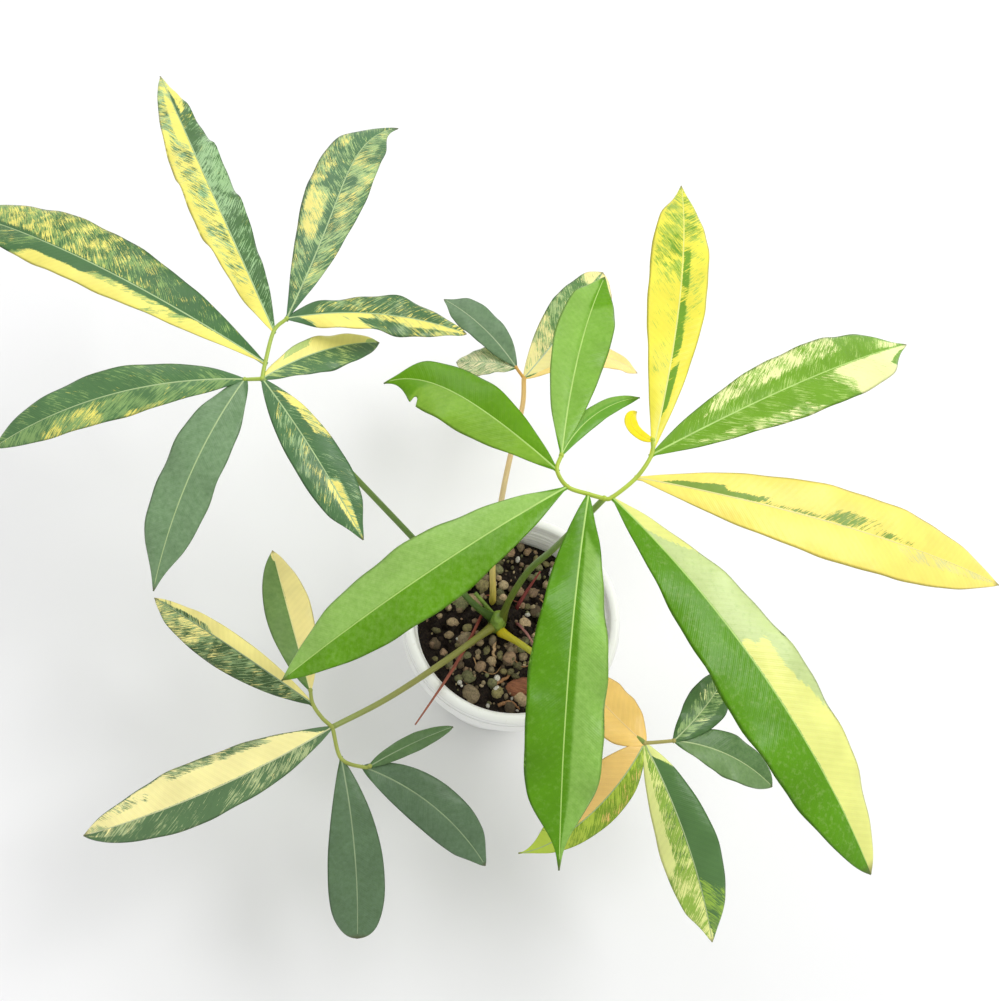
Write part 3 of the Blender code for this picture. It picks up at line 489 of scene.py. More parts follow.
FROND_C = Frond(
    "frond_c",
    "dark_leaf",
    ("#7A7C34", "#8E8E4A", "#8C9A50"),
    "#9CA64E",
    "#8FA37C",
    ((-0.009, -0.005, 0.090), (-0.032, -0.039, 0.112), (-0.054, -0.067, 0.126), (-0.075, -0.088, 0.134)),
    (
        (
            (-0.075, -0.088, 0.134),
            (-0.081, -0.085, 0.135),
            (-0.087, -0.080, 0.137),
            (-0.090, -0.074, 0.138),
        ),
        (
            (-0.075, -0.088, 0.134),
            (-0.067, -0.101, 0.131),
            (-0.0555, -0.1025, 0.131),
            (-0.0525, -0.1015, 0.132),
        ),
    ),
    (
        Leaflet(0, 2, 0.107, 0.019, 159, 5, 28, 0, base=0.9, tip=0.80, roll=-8, wave=0.0022, lean=0.30),
        Leaflet(0, 3, 0.083, 0.023, 122, 6, 26, -1, base=0.9, tip=0.85, roll=6),
        Leaflet(0, 0, 0.133, 0.030, -133, 5, 34, -24, base=0.9, tip=0.80, roll=5, lean=-0.12),
        Leaflet(1, 1, 0.088, 0.027, -62, -3, 34, -15, base=0.9, tip=0.45, roll=-4),
        Leaflet(1, 2, 0.082, 0.024, -5, -2, 32, -35, base=0.75, tip=0.66, roll=4, tail=0.3),
        Leaflet(1, 3, 0.047, 0.009, 44, 5, 24, -8, base=0.7, tip=0.70, wave=0.0006),
    ),
    (
        Look(
            "#46603A",
            "#8FA874",
            "#F3E792",
            (
                Patch(RIGHT, -0.3, 0.86, 0, 1.1, 1, 1, soft=0.03),
                Patch(RIGHT, 0.60, 1.1, 0, 0.42, 0.20, 0.5, soft=0.05),
                Patch(RIGHT, 0.80, 1.1, 0.3, 1.1, 0.62, 0.6, soft=0.05),
                Patch(LEFT, 0, 0.6, 0, 1.1, 0.22, 0.4),
                Patch(LEFT, 0.58, 1.1, 0.0, 1.1, 0.42, 0.5),
            ),
        ),
        Look(
            "#587E40",
            "#8FA864",
            "#F0E196",
            (
                Patch(RIGHT, -0.3, 1.3, 0, 1.1, 1, 1, soft=0.01),
                Patch(LEFT, 0.9, 1.3, 0, 1.1, 1, 1, soft=0.02),
                Patch(LEFT, 0, 0.9, 0, 1.1, 0, 0.4),
            ),
            0,
            "#E2DC9A",
        ),
        Look(
            "#5A7850",
            "#AEBC88",
            "#F8EEA6",
            (
                Patch(RIGHT, 0.02, 0.92, 0, 0.95, 1, 1, soft=0.04),
                Patch(RIGHT, 0.15, 0.55, 0.70, 1.1, 0.40, 0.4, soft=0.04),
                Patch(RIGHT, 0.66, 0.86, 0.45, 0.95, 0.60, 0.5, soft=0.04),
                Patch(RIGHT, 0.88, 1.1, 0, 1.1, 0.40, 0.8, soft=0.05),
                Patch(LEFT, 0, 1, 0, 1.1, 0.03, 0.22),
                Patch(LEFT, 0.02, 0.36, 0, 0.9, 0.10, 0.44),
                Patch(LEFT, 0.74, 0.92, 0, 0.6, 0.40, 0.5),
            ),
            rib="#C6CB9C",
        ),
        Look("#4C6640", "#6F8A6C", "#F2E7A0", (Patch(BOTH, 0, 1, 0, 1.1, 0, 0.45),), 0),
        Look("#46623E", "#728B6E", "#F2E7A0", (Patch(BOTH, 0, 1, 0, 1.1, 0, 0.5),), 0),
        Look("#4C6A40", "#6C8A5A", "#F2E7A0", (Patch(BOTH, 0, 1, 0, 1.1, 0, 0.4),), 0),
    ),
)

FROND_D = Frond(
    "frond_d",
    "pale_leaf",
    ("#D8C22A", "#DCC694", "#D8AE5C"),
    "#D6A650",
    "#AEBE98",
    (
        (-0.012, 0.011, 0.074),
        (-0.013, 0.013, 0.092),
        (-0.018, 0.028, 0.110),
        (-0.021, 0.056, 0.126),
        (-0.022, 0.085, 0.132),
        (-0.022, 0.115, 0.131),
        (-0.025, 0.135, 0.128),
    ),
    (((-0.025, 0.135, 0.128), (-0.031, 0.141, 0.128)),),
    (
        Leaflet(0, 1, 0.067, 0.021, 135, 7, 22, 18, base=0.9, tip=0.68, roll=-5, lean=-0.10, tail=0.4),
        Leaflet(0, 1, 0.040, 0.020, 172, -8, 26, 8, base=0.9, tip=0.75, roll=4),
        Leaflet(0, 0, 0.106, 0.033, 64, 8, 28, 15, base=0.9, tip=0.70, roll=6, wave=0.0018),
        Leaflet(0, 0, 0.097, 0.021, 54, 2, 50, -42, base=0.8, tip=0.80, roll=-6),
    ),
    (
        Look("#4C6A4A", "#84A07A", "#EFE9C0", (Patch(BOTH, 0, 1, 0, 1.1, 0, 0.5),), 0),
        Look("#5F7F50", "#A9BC8C", "#EBE3B4", (Patch(BOTH, 0, 1, 0, 1.1, 0.46, 0.6),)),
        Look(
            "#5A8048",
            "#A6BE7E",
            "#EEE49A",
            (
                Patch(LEFT, -0.3, 1.3, 0, 1.1, 0.16, 0.44),
                Patch(LEFT, -0.3, 0.34, 0, 1.1, 0.44, 0.6),
                Patch(LEFT, -0.3, 0.12, 0, 1.1, 0.80, 1),
                Patch(BOTH, 0.78, 1.1, 0.2, 1.1, 0.78, 1),
                Patch(RIGHT, 0, 1.3, 0, 1.1, 0.90, 1),
            ),
        ),
        Look("#E9C678", "#F0D080", "#F4D884", (Patch(BOTH, -0.3, 1.3, 0, 1.1, 1, 1),), 0, "#E8D49A"),
    ),
)

FROND_E = Frond(
    "frond_e",
    "mixed_leaf",
    ("#DCC82A", "#8A9C3E", "#7E9444"),
    "#A9A05C",
    "#A9BC86",
    ((-0.004, -0.006, 0.088), (0.015, -0.019, 0.106), (0.048, -0.041, 0.121), (0.078, -0.058, 0.128)),
    (((0.078, -0.058, 0.128), (0.085, -0.056, 0.129), (0.092, -0.054, 0.131)),),
    (
        Leaflet(0, 0, 0.050, 0.029, 152, 3, 26, -18, base=0.7, tip=0.60, roll=5),
        Leaflet(0, 0, 0.088, 0.026, -107, 1, 32, -36, -20, base=0.9, tip=1.2, roll=-5, lean=-0.25, tail=0.4),
        Leaflet(0, 0, 0.105, 0.030, -52, 2, 36, -9, base=0.9, tip=0.76, roll=5, tail=0.4),
        Leaflet(0, 2, 0.063, 0.023, 10, -3, 26, -34, base=0.9, tip=0.75, roll=-4),
        Leaflet(0, 2, 0.054, 0.021, 53, 3, 26, 16, base=0.9, tip=0.75, roll=5),
    ),
    (
        Look("#E6B55E", "#EFC46C", "#F5CC76", (Patch(BOTH, -0.3, 1.3, 0, 1.1, 1, 1),), 0, "#ECC888"),
        Look(
            "#7FA030",
            "#B6CC4C",
            "#F0C878",
            (
                Patch(BOTH, -0.3, 1.3, 0, 1.1, 0.0, 0.55),
                Patch(LEFT, 0.05, 0.45, 0.25, 0.95, 0.30, 0.4, soft=0.06),
                Patch(RIGHT, -0.3, 0.60, 0, 1.1, 1, 1, soft=0.04),
                Patch(BOTH, 0.72, 1.2, 0, 1.1, 0.0, 0.95),
            ),
        ),
        Look(
            "#557A46",
            "#94B64A",
            "#E6EB96",
            (
                Patch(RIGHT, -0.3, 0.62, 0, 1.1, 0.40, 0.7),
                Patch(RIGHT, -0.3, 0.52, 0.62, 1.1, 1, 1),
                Patch(RIGHT, 0.58, 1.1, 0, 1.1, 0.46, 0.9),
                Patch(LEFT, 0.66, 0.90, 0.0, 1.1, 0.06, 0.5),
                Patch(LEFT, -0.3, 0.06, 0, 1.1, 1, 1),
                Patch(BOTH, 0.92, 1.1, 0, 1.1, 0.9, 1),
            ),
        ),
        Look("#4A6C3C", "#82A068", "#E9EFA6", (Patch(RIGHT, 0, 1, 0, 1.1, 0, 0.55), Patch(LEFT, 0, 1, 0, 1.1, 0, 0.2)), 0),
        Look("#4A6C3C", "#8DAA6A", "#E9EFA6", (Patch(BOTH, 0, 1, 0, 0.6, 0.16, 0.45),)),
    ),
)

FRONDS = (FROND_A, FROND_B, FROND_C, FROND_D, FROND_E)

# An insect's bite in a margin: frond, leaflet, side, share of the midrib, half its length and its depth.
Bite = namedtuple("Bite", "frond leaflet side share reach depth")
BITES = (Bite("frond_a", 7, LEFT, 0.79, 0.022, 0.34),)

Sheath = namedtuple("Sheath", "name tone tip_tone route foot_radius tip_radius")
SHEATHS = (
    Sheath(
        "sheath_long",
        "#7E2F22",
        "#A4604A",
        (
            (-0.0165, 0.001, 0.078),
            (-0.0168, -0.001, 0.088),
            (-0.020, -0.017, 0.0925),
            (-0.0245, -0.0355, 0.1015),
            (-0.0275, -0.046, 0.1068),
            (-0.0315, -0.0575, 0.1085),
            (-0.037, -0.072, 0.1075),
        ),
        0.0013,
        0.0005,
    ),
    Sheath(
        "sheath_north",
        "#5E1518",
        "#8C3A34",
        ((0.0020, 0.010, 0.078), (0.0025, 0.0115, 0.088), (0.006, 0.021, 0.094), (0.010, 0.030, 0.101)),
        0.0016,
        0.0005,
    ),
    Sheath(
        "sheath_east",
        "#5A1A1C",
        "#B07A74",
        ((0.0035, 0.002, 0.078), (0.0045, 0.001, 0.087), (0.010, -0.004, 0.091), (0.015, -0.010, 0.094)),
        0.0016,
        0.0005,
    ),
)

# A closed shell: its points, its quads and triangles, its UV places, its point values and its material.
Shell = namedtuple("Shell", "points quads triangles uv values finish")


class PotSettings(bpy.types.PropertyGroup):
    """Sizes and colour of the nursery pot."""

    steps: bpy.props.IntProperty(name="Steps", description="Steps round the pot", default=160, min=24)
    plastic: bpy.props.FloatVectorProperty(
        name="Plastic", description="Colour of the plastic", subtype="COLOR", size=3, default=linear("#FEFEFD")
    )


class MixSettings(bpy.types.PropertyGroup):
    """Look of the potting mix."""

    rings: bpy.props.IntProperty(name="Rings", description="Rings of the top surface", default=84, min=12)
    steps: bpy.props.IntProperty(name="Steps", description="Steps round the mix", default=220, min=24)
    grit: bpy.props.IntProperty(name="Grit", description="Number of small stones", default=430, min=0)
    peat: bpy.props.FloatVectorProperty(
        name="Peat", description="Colour of the damp peat", subtype="COLOR", size=3, default=linear("#1E150F")
    )


class LeafSettings(bpy.types.PropertyGroup):
    """Look of the fronds."""

    vein_spacing: bpy.props.FloatProperty(
        name="Side veins", description="Spacing of the side veins", default=0.0034, unit="LENGTH"
    )
    streak_width: bpy.props.FloatProperty(
        name="Streaks", description="Width of a streak of the marbling", default=0.0007, unit="LENGTH"
    )
    crown_skin: bpy.props.FloatVectorProperty(
        name="Crown", description="Colour of the crown's skin", subtype="COLOR", size=3, default=linear("#66802F")
    )


class StageSettings(bpy.types.PropertyGroup):
    """Floor and light."""

    floor_size: bpy.props.FloatProperty(
        name="Floor", description="Side of the floor", default=6.0, unit="LENGTH"
    )
    key_power: bpy.props.FloatProperty(
        name="Key light", description="Power of the key light in watts", default=32.0, subtype="POWER"
    )
    sheen_power: bpy.props.FloatProperty(
        name="Sheen light", description="Power of the softbox in watts", default=9.0, subtype="POWER"
    )
    sky: bpy.props.FloatProperty(name="Sky", description="Strength of the white sky", default=0.70, min=0.0)


def add_node(tree, kind, inputs=None, **settings):
    """Adds a node with its settings. An input takes a number, a colour or another node's output."""
    node = tree.nodes.new(kind)
    for name, value in settings.items():
        setattr(node, name, value)
    for name, value in (inputs or {}).items():
        if isinstance(value, bpy.types.NodeSocket):
            tree.links.new(value, node.inputs[name])
        else:
            node.inputs[name].default_value = value
    return node


def new_material(name):
    """A material with its node tree and its Principled shader."""
    material = bpy.data.materials.new(name)
    material.use_nodes = True
    return material, material.node_tree, material.node_tree.nodes["Principled BSDF"]


def smooth_route(points, steps_per_leg):
    """Points of a Catmull-Rom curve through the route's own points."""
    route = np.array(points, float)
    padded = np.vstack([2 * route[0] - route[1], route, 2 * route[-1] - route[-2]])
    t = np.linspace(0.0, 1.0, steps_per_leg, endpoint=False)[:, None]
    legs = []
    for before, start, end, after in zip(padded, padded[1:], padded[2:], padded[3:]):
        slope = (end - before) * t + (2 * before - 5 * start + 4 * end - after) * t**2
        legs.append(start + 0.5 * (slope + (3 * start - before - 3 * end + after) * t**3))
    return np.vstack([*legs, route[-1:]])


def soft_step(x):
    """0 below 0, 1 above 1, and the smooth cubic 3x^2 - 2x^3 between."""
    x = np.clip(x, 0.0, 1.0)
    return x * x * (3 - 2 * x)


def shell(rings, finish=0, uv=None, **values):
    """A closed surface through rings of points, each wound to the left about the way they run. Each end
    closes on a pole at its ring's middle. Values are given for each point of a ring, for each ring or once."""
    rows, around = rings.shape[:2]
    ends = np.stack([rings[0].mean(0), rings[-1].mean(0)])
    points = np.vstack([rings.reshape(-1, 3), ends])
    index = np.arange(rows * around).reshape(rows, around)
    after = np.roll(index, -1, axis=1)
    quads = np.stack([index[:-1], after[:-1], after[1:], index[1:]], -1).reshape(-1, 4)
    first = np.stack([after[0], index[0], np.full(around, rows * around)], 1)
    last = np.stack([index[-1], after[-1], np.full(around, rows * around + 1)], 1)
    spread = {}
    for name, value in {**values, "uv": np.zeros(2) if uv is None else uv}.items():
        value = np.asarray(value, float)
        vector = value.ndim > 0 and value.shape[-1] in (2, 3) and value.shape != (rows, around)
        size = value.shape[-1] if vector else 1
        if value.ndim == (2 if vector else 1):
            value = value[:, None]
        wide = np.broadcast_to(value.reshape((*value.shape, 1)) if not vector else value, (rows, around, size))
        poles = np.stack([wide[0].mean(0), wide[-1].mean(0)])
        spread[name] = np.vstack([wide.reshape(-1, size), poles])
    uv_places = spread.pop("uv")
    return Shell(points, quads, np.vstack([first, last]), uv_places, spread, finish)


def inside_cad(points):
    """The points kept in the CAD model's box, so that finer ripples never stand out of it."""
    return np.clip(points, np.array(CAD_LOW) + 1e-6, np.array(CAD_HIGH) - 1e-6)


def piece_from(name, shells, materials, replaced=(), sharp_angle=None):
    """One mesh object from closed shells. It rides on the root, takes a slot and replaces CAD nodes."""
    base = np.cumsum([0] + [len(part.points) for part in shells])
    points = inside_cad(np.vstack([part.points for part in shells]))
    quads = np.vstack([part.quads + start for part, start in zip(shells, base)])
    triangles = np.vstack([part.triangles + start for part, start in zip(shells, base)])
    finishes = np.concatenate([np.full(len(part.quads), part.finish) for part in shells])
    finishes = np.concatenate([finishes, *[np.full(len(part.triangles), part.finish) for part in shells]])
    corners = np.concatenate([quads.ravel(), triangles.ravel()])
    starts = np.concatenate([np.arange(len(quads)) * 4, len(quads) * 4 + np.arange(len(triangles)) * 3])
    mesh = bpy.data.meshes.new(name)
    mesh.vertices.add(len(points))
    mesh.vertices.foreach_set("co", points.ravel())
    mesh.loops.add(len(corners))
    mesh.loops.foreach_set("vertex_index", corners.astype(np.int32))
    mesh.polygons.add(len(starts))
    mesh.polygons.foreach_set("loop_start", starts.astype(np.int32))
    mesh.polygons.foreach_set("material_index", finishes.astype(np.int32))
    mesh.update(calc_edges=True)
    mesh.validate()
    layer = mesh.uv_layers.new(name="surface")
    layer.data.foreach_set("uv", np.vstack([part.uv for part in shells])[corners].ravel())
    for value_name in sorted({key for part in shells for key in part.values}):
        size = max(part.values[value_name].shape[1] for part in shells if value_name in part.values)
        rows = [part.values.get(value_name, np.zeros((len(part.points), size))) for part in shells]
        table = np.vstack(rows)
        if size == 1:
            mesh.attributes.new(value_name, "FLOAT", "POINT").data.foreach_set("value", table.ravel())
        else:
            colours = np.hstack([table, np.ones((len(table), 1))])
            mesh.attributes.new(value_name, "FLOAT_COLOR", "POINT").data.foreach_set("color", colours.ravel())
    for material in materials:
        mesh.materials.append(material)
    mesh.shade_smooth()
    if sharp_angle is not None:
        mesh.set_sharp_from_angle(angle=math.radians(sharp_angle))
    piece = bpy.data.objects.new(name, mesh)
    bpy.context.scene.collection.objects.link(piece)
    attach(piece, ROOT_BODY)
    if replaced:
        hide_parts(*replaced)
    return piece


def tube(path, radii, around=12, finish=0, flat=1.0, twist=0.0, **values):
    """A round profile carried along the path: each ring is centre + radius (cos a, sin a) in the plane
    across the path. Flat squeezes one axis, and twist turns it in radians from end to end."""
    path = np.asarray(path, float)
    along = np.gradient(path, axis=0)
    along /= np.linalg.norm(along, axis=1, keepdims=True)
    chord = np.abs(path[-1] - path[0])
    reference = np.eye(3)[int(np.argmin(chord))]
    first = np.cross(along, reference)
    first /= np.linalg.norm(first, axis=1, keepdims=True)
    second = np.cross(along, first)
    turn = np.linspace(0.0, 2 * math.pi, around, endpoint=False)[None, :]
    turned = twist * np.linspace(0.0, 1.0, len(path))[:, None]
    wide, high = np.cos(turn), flat * np.sin(turn)
    x = wide * np.cos(turned) - high * np.sin(turned)
    y = wide * np.sin(turned) + high * np.cos(turned)
    radii = np.broadcast_to(np.asarray(radii, float), (len(path),))[:, None, None]
    rings = path[:, None] + radii * (x[..., None] * first[:, None] + y[..., None] * second[:, None])
    distance = np.concatenate([[0.0], np.cumsum(np.linalg.norm(np.diff(path, axis=0), axis=1))])
    uv = np.stack(np.broadcast_arrays(radii[:, :, 0] * turn, distance[:, None]), -1)
    return shell(rings, finish, uv, **values)


def lump(centre, radii, spin, rows, around, draw, roughness, finish=0, **values):
    """An uneven ball: a sphere's rings, swelled by three seeded waves, stretched, turned and placed."""
    polar = np.linspace(math.pi, 0.0, rows + 2)[1:-1, None]
    turn = np.linspace(0.0, 2 * math.pi, around, endpoint=False)[None, :]
    directions = np.stack(np.broadcast_arrays(np.sin(polar) * np.cos(turn), np.sin(polar) * np.sin(turn), np.cos(polar)), -1)
    swell = np.ones(directions.shape[:2])
    for frequency in (1.7, 2.9, 4.3):
        way = draw.normal(size=3)
        way *= frequency / np.linalg.norm(way)
        swell = swell + roughness / frequency * np.sin(directions @ way * 2 + 2 * math.pi * draw.random())
    shape = directions * swell[..., None] * np.array(radii)
    c, s = math.cos(spin), math.sin(spin)
    turned = np.stack([c * shape[..., 0] - s * shape[..., 1], s * shape[..., 0] + c * shape[..., 1], shape[..., 2]], -1)
    return shell(turned + np.array(centre), finish, **values)


def turned_shell(profile, steps, finish=0):
    """The profile of radius and height pairs carried round the Z axis, from the underside's middle, up the
    outer wall, over the lip and down to the middle inside."""
    profile = np.array(profile, float)
    turn = np.linspace(0.0, 2 * math.pi, steps, endpoint=False)
    radius, height = profile[:, :1], profile[:, 1:]
    rings = np.stack(np.broadcast_arrays(radius * np.cos(turn), radius * np.sin(turn), height), -1)
    return shell(rings, finish, np.stack(np.broadcast_arrays(radius * turn, height), -1))


def wall_radius(height):
    """Radius of the pot's inner wall, which tapers from the lip's inner edge to the base."""
    foot = POT_BASE_RADIUS - POT_WALL
    return foot + (POT_LIP_INNER_RADIUS - foot) * height / POT_HEIGHT


def arc(centre_radius, centre_height, size, start, end, count):
    """Radius and height pairs on a circle arc between two angles in degrees."""
    turn = np.radians(np.linspace(start, end, count))
    return list(zip(centre_radius + size * np.cos(turn), centre_height + size * np.sin(turn)))


def pot_profile():
    """Underside, foot, outer wall, collar with its groove, lip, inner wall with its ridges, inner floor."""
    under_lip = POT_HEIGHT - POT_LIP_DEPTH - POT_WALL
    edge = POT_WALL / 2
    groove = POT_HEIGHT - POT_LIP_DEPTH - POT_GROOVE_HALF_HEIGHT * 2
    profile = [(r, 0.0) for r in np.linspace(0.002, POT_BASE_RADIUS - POT_FOOT_ROUND, 12)]
    profile += arc(POT_BASE_RADIUS - POT_FOOT_ROUND, POT_FOOT_ROUND, POT_FOOT_ROUND, -70, 0, 6)
    for height in np.linspace(0.006, under_lip - 0.0006, 14):
        profile.append((wall_radius(height) + POT_WALL, height))
    profile.append((wall_radius(under_lip) + POT_WALL + 0.0004, under_lip))
    profile.append((POT_LIP_RADIUS - POT_WALL, under_lip))
    profile.append((POT_COLLAR_RADIUS - POT_WALL, POT_COLLAR_BOTTOM + edge))
    profile += arc(POT_COLLAR_RADIUS - edge, POT_COLLAR_BOTTOM + edge, edge, 200, 360, 9)
    profile += [
        (POT_COLLAR_RADIUS - 0.0001, POT_COLLAR_BOTTOM + 0.003),
        (POT_COLLAR_RADIUS - 0.0003, groove - POT_GROOVE_HALF_HEIGHT),
        (POT_LIP_RADIUS - POT_GROOVE_DEPTH, groove),
        (POT_LIP_RADIUS - POT_GROOVE_DEPTH, groove + POT_GROOVE_HALF_HEIGHT),
        (POT_LIP_RADIUS, groove + 2 * POT_GROOVE_HALF_HEIGHT),
    ]
    middle = (POT_LIP_INNER_RADIUS + POT_LIP_RADIUS) / 2
    profile += arc(middle, POT_HEIGHT - POT_LIP_ROUND, POT_LIP_ROUND, 10, 170, 25)
    profile.append((POT_LIP_INNER_RADIUS, POT_HEIGHT - POT_LIP_DEPTH))
    for height in reversed(POT_RIDGE_HEIGHTS):
        radius = wall_radius(height)
        shares = np.linspace(1.0, -1.0, 7)
        bumps = POT_RIDGE_DEPTH * np.cos(shares * math.pi / 2) ** 2
        profile += list(zip(radius - bumps, height + POT_RIDGE_DEPTH * 1.4 * shares))
    for height in np.linspace(0.0880, POT_BASE_THICKNESS + 0.001, 12):
        profile.append((wall_radius(height), height))
    floor = wall_radius(POT_BASE_THICKNESS)
    profile += [(r, POT_BASE_THICKNESS) for r in np.linspace(floor - 0.001, 0.002, 10)]
    return profile


def pot_material(colour):
    """Injection-moulded polypropylene: an even milky white with a soft satin gloss, fine flow ripples and
    faint soil marks, with thin bands of painted shade round the wall, so that the eye reads thin cheap plastic."""
    material, tree, shader = new_material("moulded_polypropylene")
    place = add_node(tree, "ShaderNodeTexCoord").outputs["Object"]
    cloud = add_node(tree, "ShaderNodeTexNoise", {"Vector": place, "Scale": 60.0, "Detail": 4.0})
    stain = add_node(tree, "ShaderNodeTexNoise", {"Vector": place, "Scale": 420.0, "Detail": 5.0})
    dirty = add_node(
        tree,
        "ShaderNodeMapRange",
        {"Value": stain.outputs["Fac"], "From Min": 0.64, "From Max": 0.74, "To Min": 0.0, "To Max": 0.35},
    )
    tint = add_node(
        tree,
        "ShaderNodeMixRGB",
        {"Fac": cloud.outputs["Fac"], "Color1": (*colour, 1), "Color2": (*[c * 0.95 for c in colour], 1)},
    )
    marked = add_node(
        tree,
        "ShaderNodeMixRGB",
        {"Fac": dirty.outputs["Result"], "Color1": tint.outputs["Color"], "Color2": (*linear("#D8D2C4"), 1)},
    )
    # Painted shade: thin darker bands by height stand for the shade in the fine mould rings, which the wall's shape
    # doesn't have.
    height = add_node(tree, "ShaderNodeSeparateXYZ", {"Vector": place}).outputs["Z"]
    turns = add_node(
        tree, "ShaderNodeMath", {0: height, 1: 2 * math.pi / POT_RING_SHADE_SPACING}, operation="MULTIPLY"
    ).outputs[0]
    wave = add_node(tree, "ShaderNodeMath", {0: turns}, operation="SINE").outputs[0]
    ring = add_node(
        tree, "ShaderNodeMapRange", {"Value": wave, "From Min": 0.55, "From Max": 1.0, "To Min": 1.0, "To Max": 0.86}
    ).outputs["Result"]
    ring_shaded = add_node(
        tree, "ShaderNodeMixRGB", {"Fac": 1.0, "Color1": marked.outputs["Color"], "Color2": ring}, blend_type="MULTIPLY"
    )
    ripple = add_node(
        tree, "ShaderNodeBump", {"Height": cloud.outputs["Fac"], "Strength": 0.12, "Distance": 0.0004}
    )
    tree.links.new(ring_shaded.outputs["Color"], shader.inputs["Base Color"])
    tree.links.new(ripple.outputs["Normal"], shader.inputs["Normal"])
    shader.inputs["Roughness"].default_value = 0.36
    shader.inputs["IOR"].default_value = 1.49
    shader.inputs["Subsurface Weight"].default_value = 0.10
    shader.inputs["Subsurface Radius"].default_value = (0.004, 0.004, 0.004)
    return material


class PHILODENDRON_OT_pot(bpy.types.Operator):
    """Build the nursery pot with its rolled lip, collar, ridges and drain holes"""

    bl_idname = "philodendron.pot"
    bl_label = "Pot"

    def execute(self, context):
        settings = context.scene.philodendron_pot
        wall = turned_shell(pot_profile(), settings.steps)
        pot = piece_from("nursery_pot", [wall], [pot_material(settings.plastic)], ["pot"], 40)
        drills = []
        for number in range(DRAIN_HOLE_COUNT):
            turn = 2 * math.pi * number / DRAIN_HOLE_COUNT
            x, y = DRAIN_HOLE_CIRCLE * math.cos(turn), DRAIN_HOLE_CIRCLE * math.sin(turn)
            bpy.ops.mesh.primitive_cylinder_add(
                vertices=32, radius=DRAIN_HOLE_RADIUS, depth=4 * POT_BASE_THICKNESS, location=(x, y, 0.0)
            )
            drills.append(context.object)
            hole = pot.modifiers.new(f"drain_hole_{number + 1}", "BOOLEAN")
            hole.operation, hole.solver, hole.object = "DIFFERENCE", "EXACT", drills[-1]
        context.view_layer.update()
        cut = bpy.data.meshes.new_from_object(pot.evaluated_get(context.evaluated_depsgraph_get()))
        pot.modifiers.clear()
        pot.data = cut
        for drill in drills:
            bpy.data.objects.remove(drill, do_unlink=True)
        return {"FINISHED"}


def mix_height(x, y):
    """Height of the potting mix: a low mound at the crown, with waves across the pot for its lumps."""
    away = (x - CROWN_CENTRE[0]) ** 2 + (y - CROWN_CENTRE[1]) ** 2
    mound = MOUND_HEIGHT * np.exp(-away / MOUND_RADIUS**2)
    broad = BROAD_LUMP * np.sin(BROAD_WAVES[0] * x + 1) * np.cos(BROAD_WAVES[1] * y)
    small = SMALL_LUMP * np.sin(SMALL_WAVES[0] * x + SMALL_WAVES[1] * y)
    return MIX_LEVEL + mound + broad + small


def crumbs(x, y):
    """Peat crumbs: the sum of waves in seeded directions, each as high as a share of its own length."""
    draw = np.random.default_rng(CRUMB_SEED)
    height = np.zeros(np.shape(x))
    for share in np.linspace(0.0, 1.0, CRUMB_WAVES):
        length = CRUMB_LONGEST * (CRUMB_SHORTEST / CRUMB_LONGEST) ** share
        way = 2 * math.pi * draw.random()
        wave = (x * math.cos(way) + y * math.sin(way)) * 2 * math.pi / length + 2 * math.pi * draw.random()
        height = height + CRUMB_HEIGHT * length * np.sin(wave)
    return height


def mix_shell(settings):
    """The filling: a polar grid whose height is the mix height plus crumbs, closed down to the pot's floor."""
    floor = POT_BASE_THICKNESS + FIT_GAP
    side = wall_radius(MIX_LEVEL) - MIX_SIDE_GAP
    turn = np.linspace(0.0, 2 * math.pi, settings.steps, endpoint=False)
    lower = [(0.002, floor), (wall_radius(floor) - MIX_SIDE_GAP, floor), (side, MIX_LEVEL - 0.004)]
    rings = [np.stack(np.broadcast_arrays(r * np.cos(turn), r * np.sin(turn), z), -1) for r, z in lower]
    radius = side * np.linspace(1.0, 0.004, settings.rings)[:, None]
    x, y = radius * np.cos(turn), radius * np.sin(turn)
    fade = soft_step((1 - radius / side) / 0.06)
    height = mix_height(x, y) + (crumbs(x, y) - 0.0004) * fade
    height = np.where(radius > side * 0.999, np.minimum(height, MIX_LEVEL), height)
    top = np.stack([x, y, height], -1)
    return shell(np.concatenate([np.stack(rings), top]), 0)


def stone_places():
    """Places, sizes, stretches and turns of the source's own stones, drawn in the same order."""
    draw = np.random.default_rng(STONE_SEED)
    reach = wall_radius(MIX_LEVEL)
    placed = []
    while len(placed) < STONE_COUNT:
        away = reach * math.sqrt(draw.random())
        turn = 2 * math.pi * draw.random()
        x, y = away * math.cos(turn), away * math.sin(turn)
        size = STONE_LEAST_RADIUS + (STONE_MOST_RADIUS - STONE_LEAST_RADIUS) * draw.random() ** 2
        stretch = STONE_STRETCH_LEAST + STONE_STRETCH_RANGE * draw.random(3)
        spin = 2 * math.pi * draw.random()
        near_crown = math.hypot(x - CROWN_CENTRE[0], y - CROWN_CENTRE[1]) < STONE_ROOM_FROM_CROWN
        near_wall = away + size * stretch.max() > reach - STONE_ROOM_FROM_WALL + STONE_LEAST_RADIUS
        crowded = any(math.hypot(x - a, y - b) < STONE_SPACING * (size + r) for a, b, r, _, _ in placed)
        if not (near_crown or near_wall or crowded):
            placed.append((x, y, size, stretch, spin))
    return placed


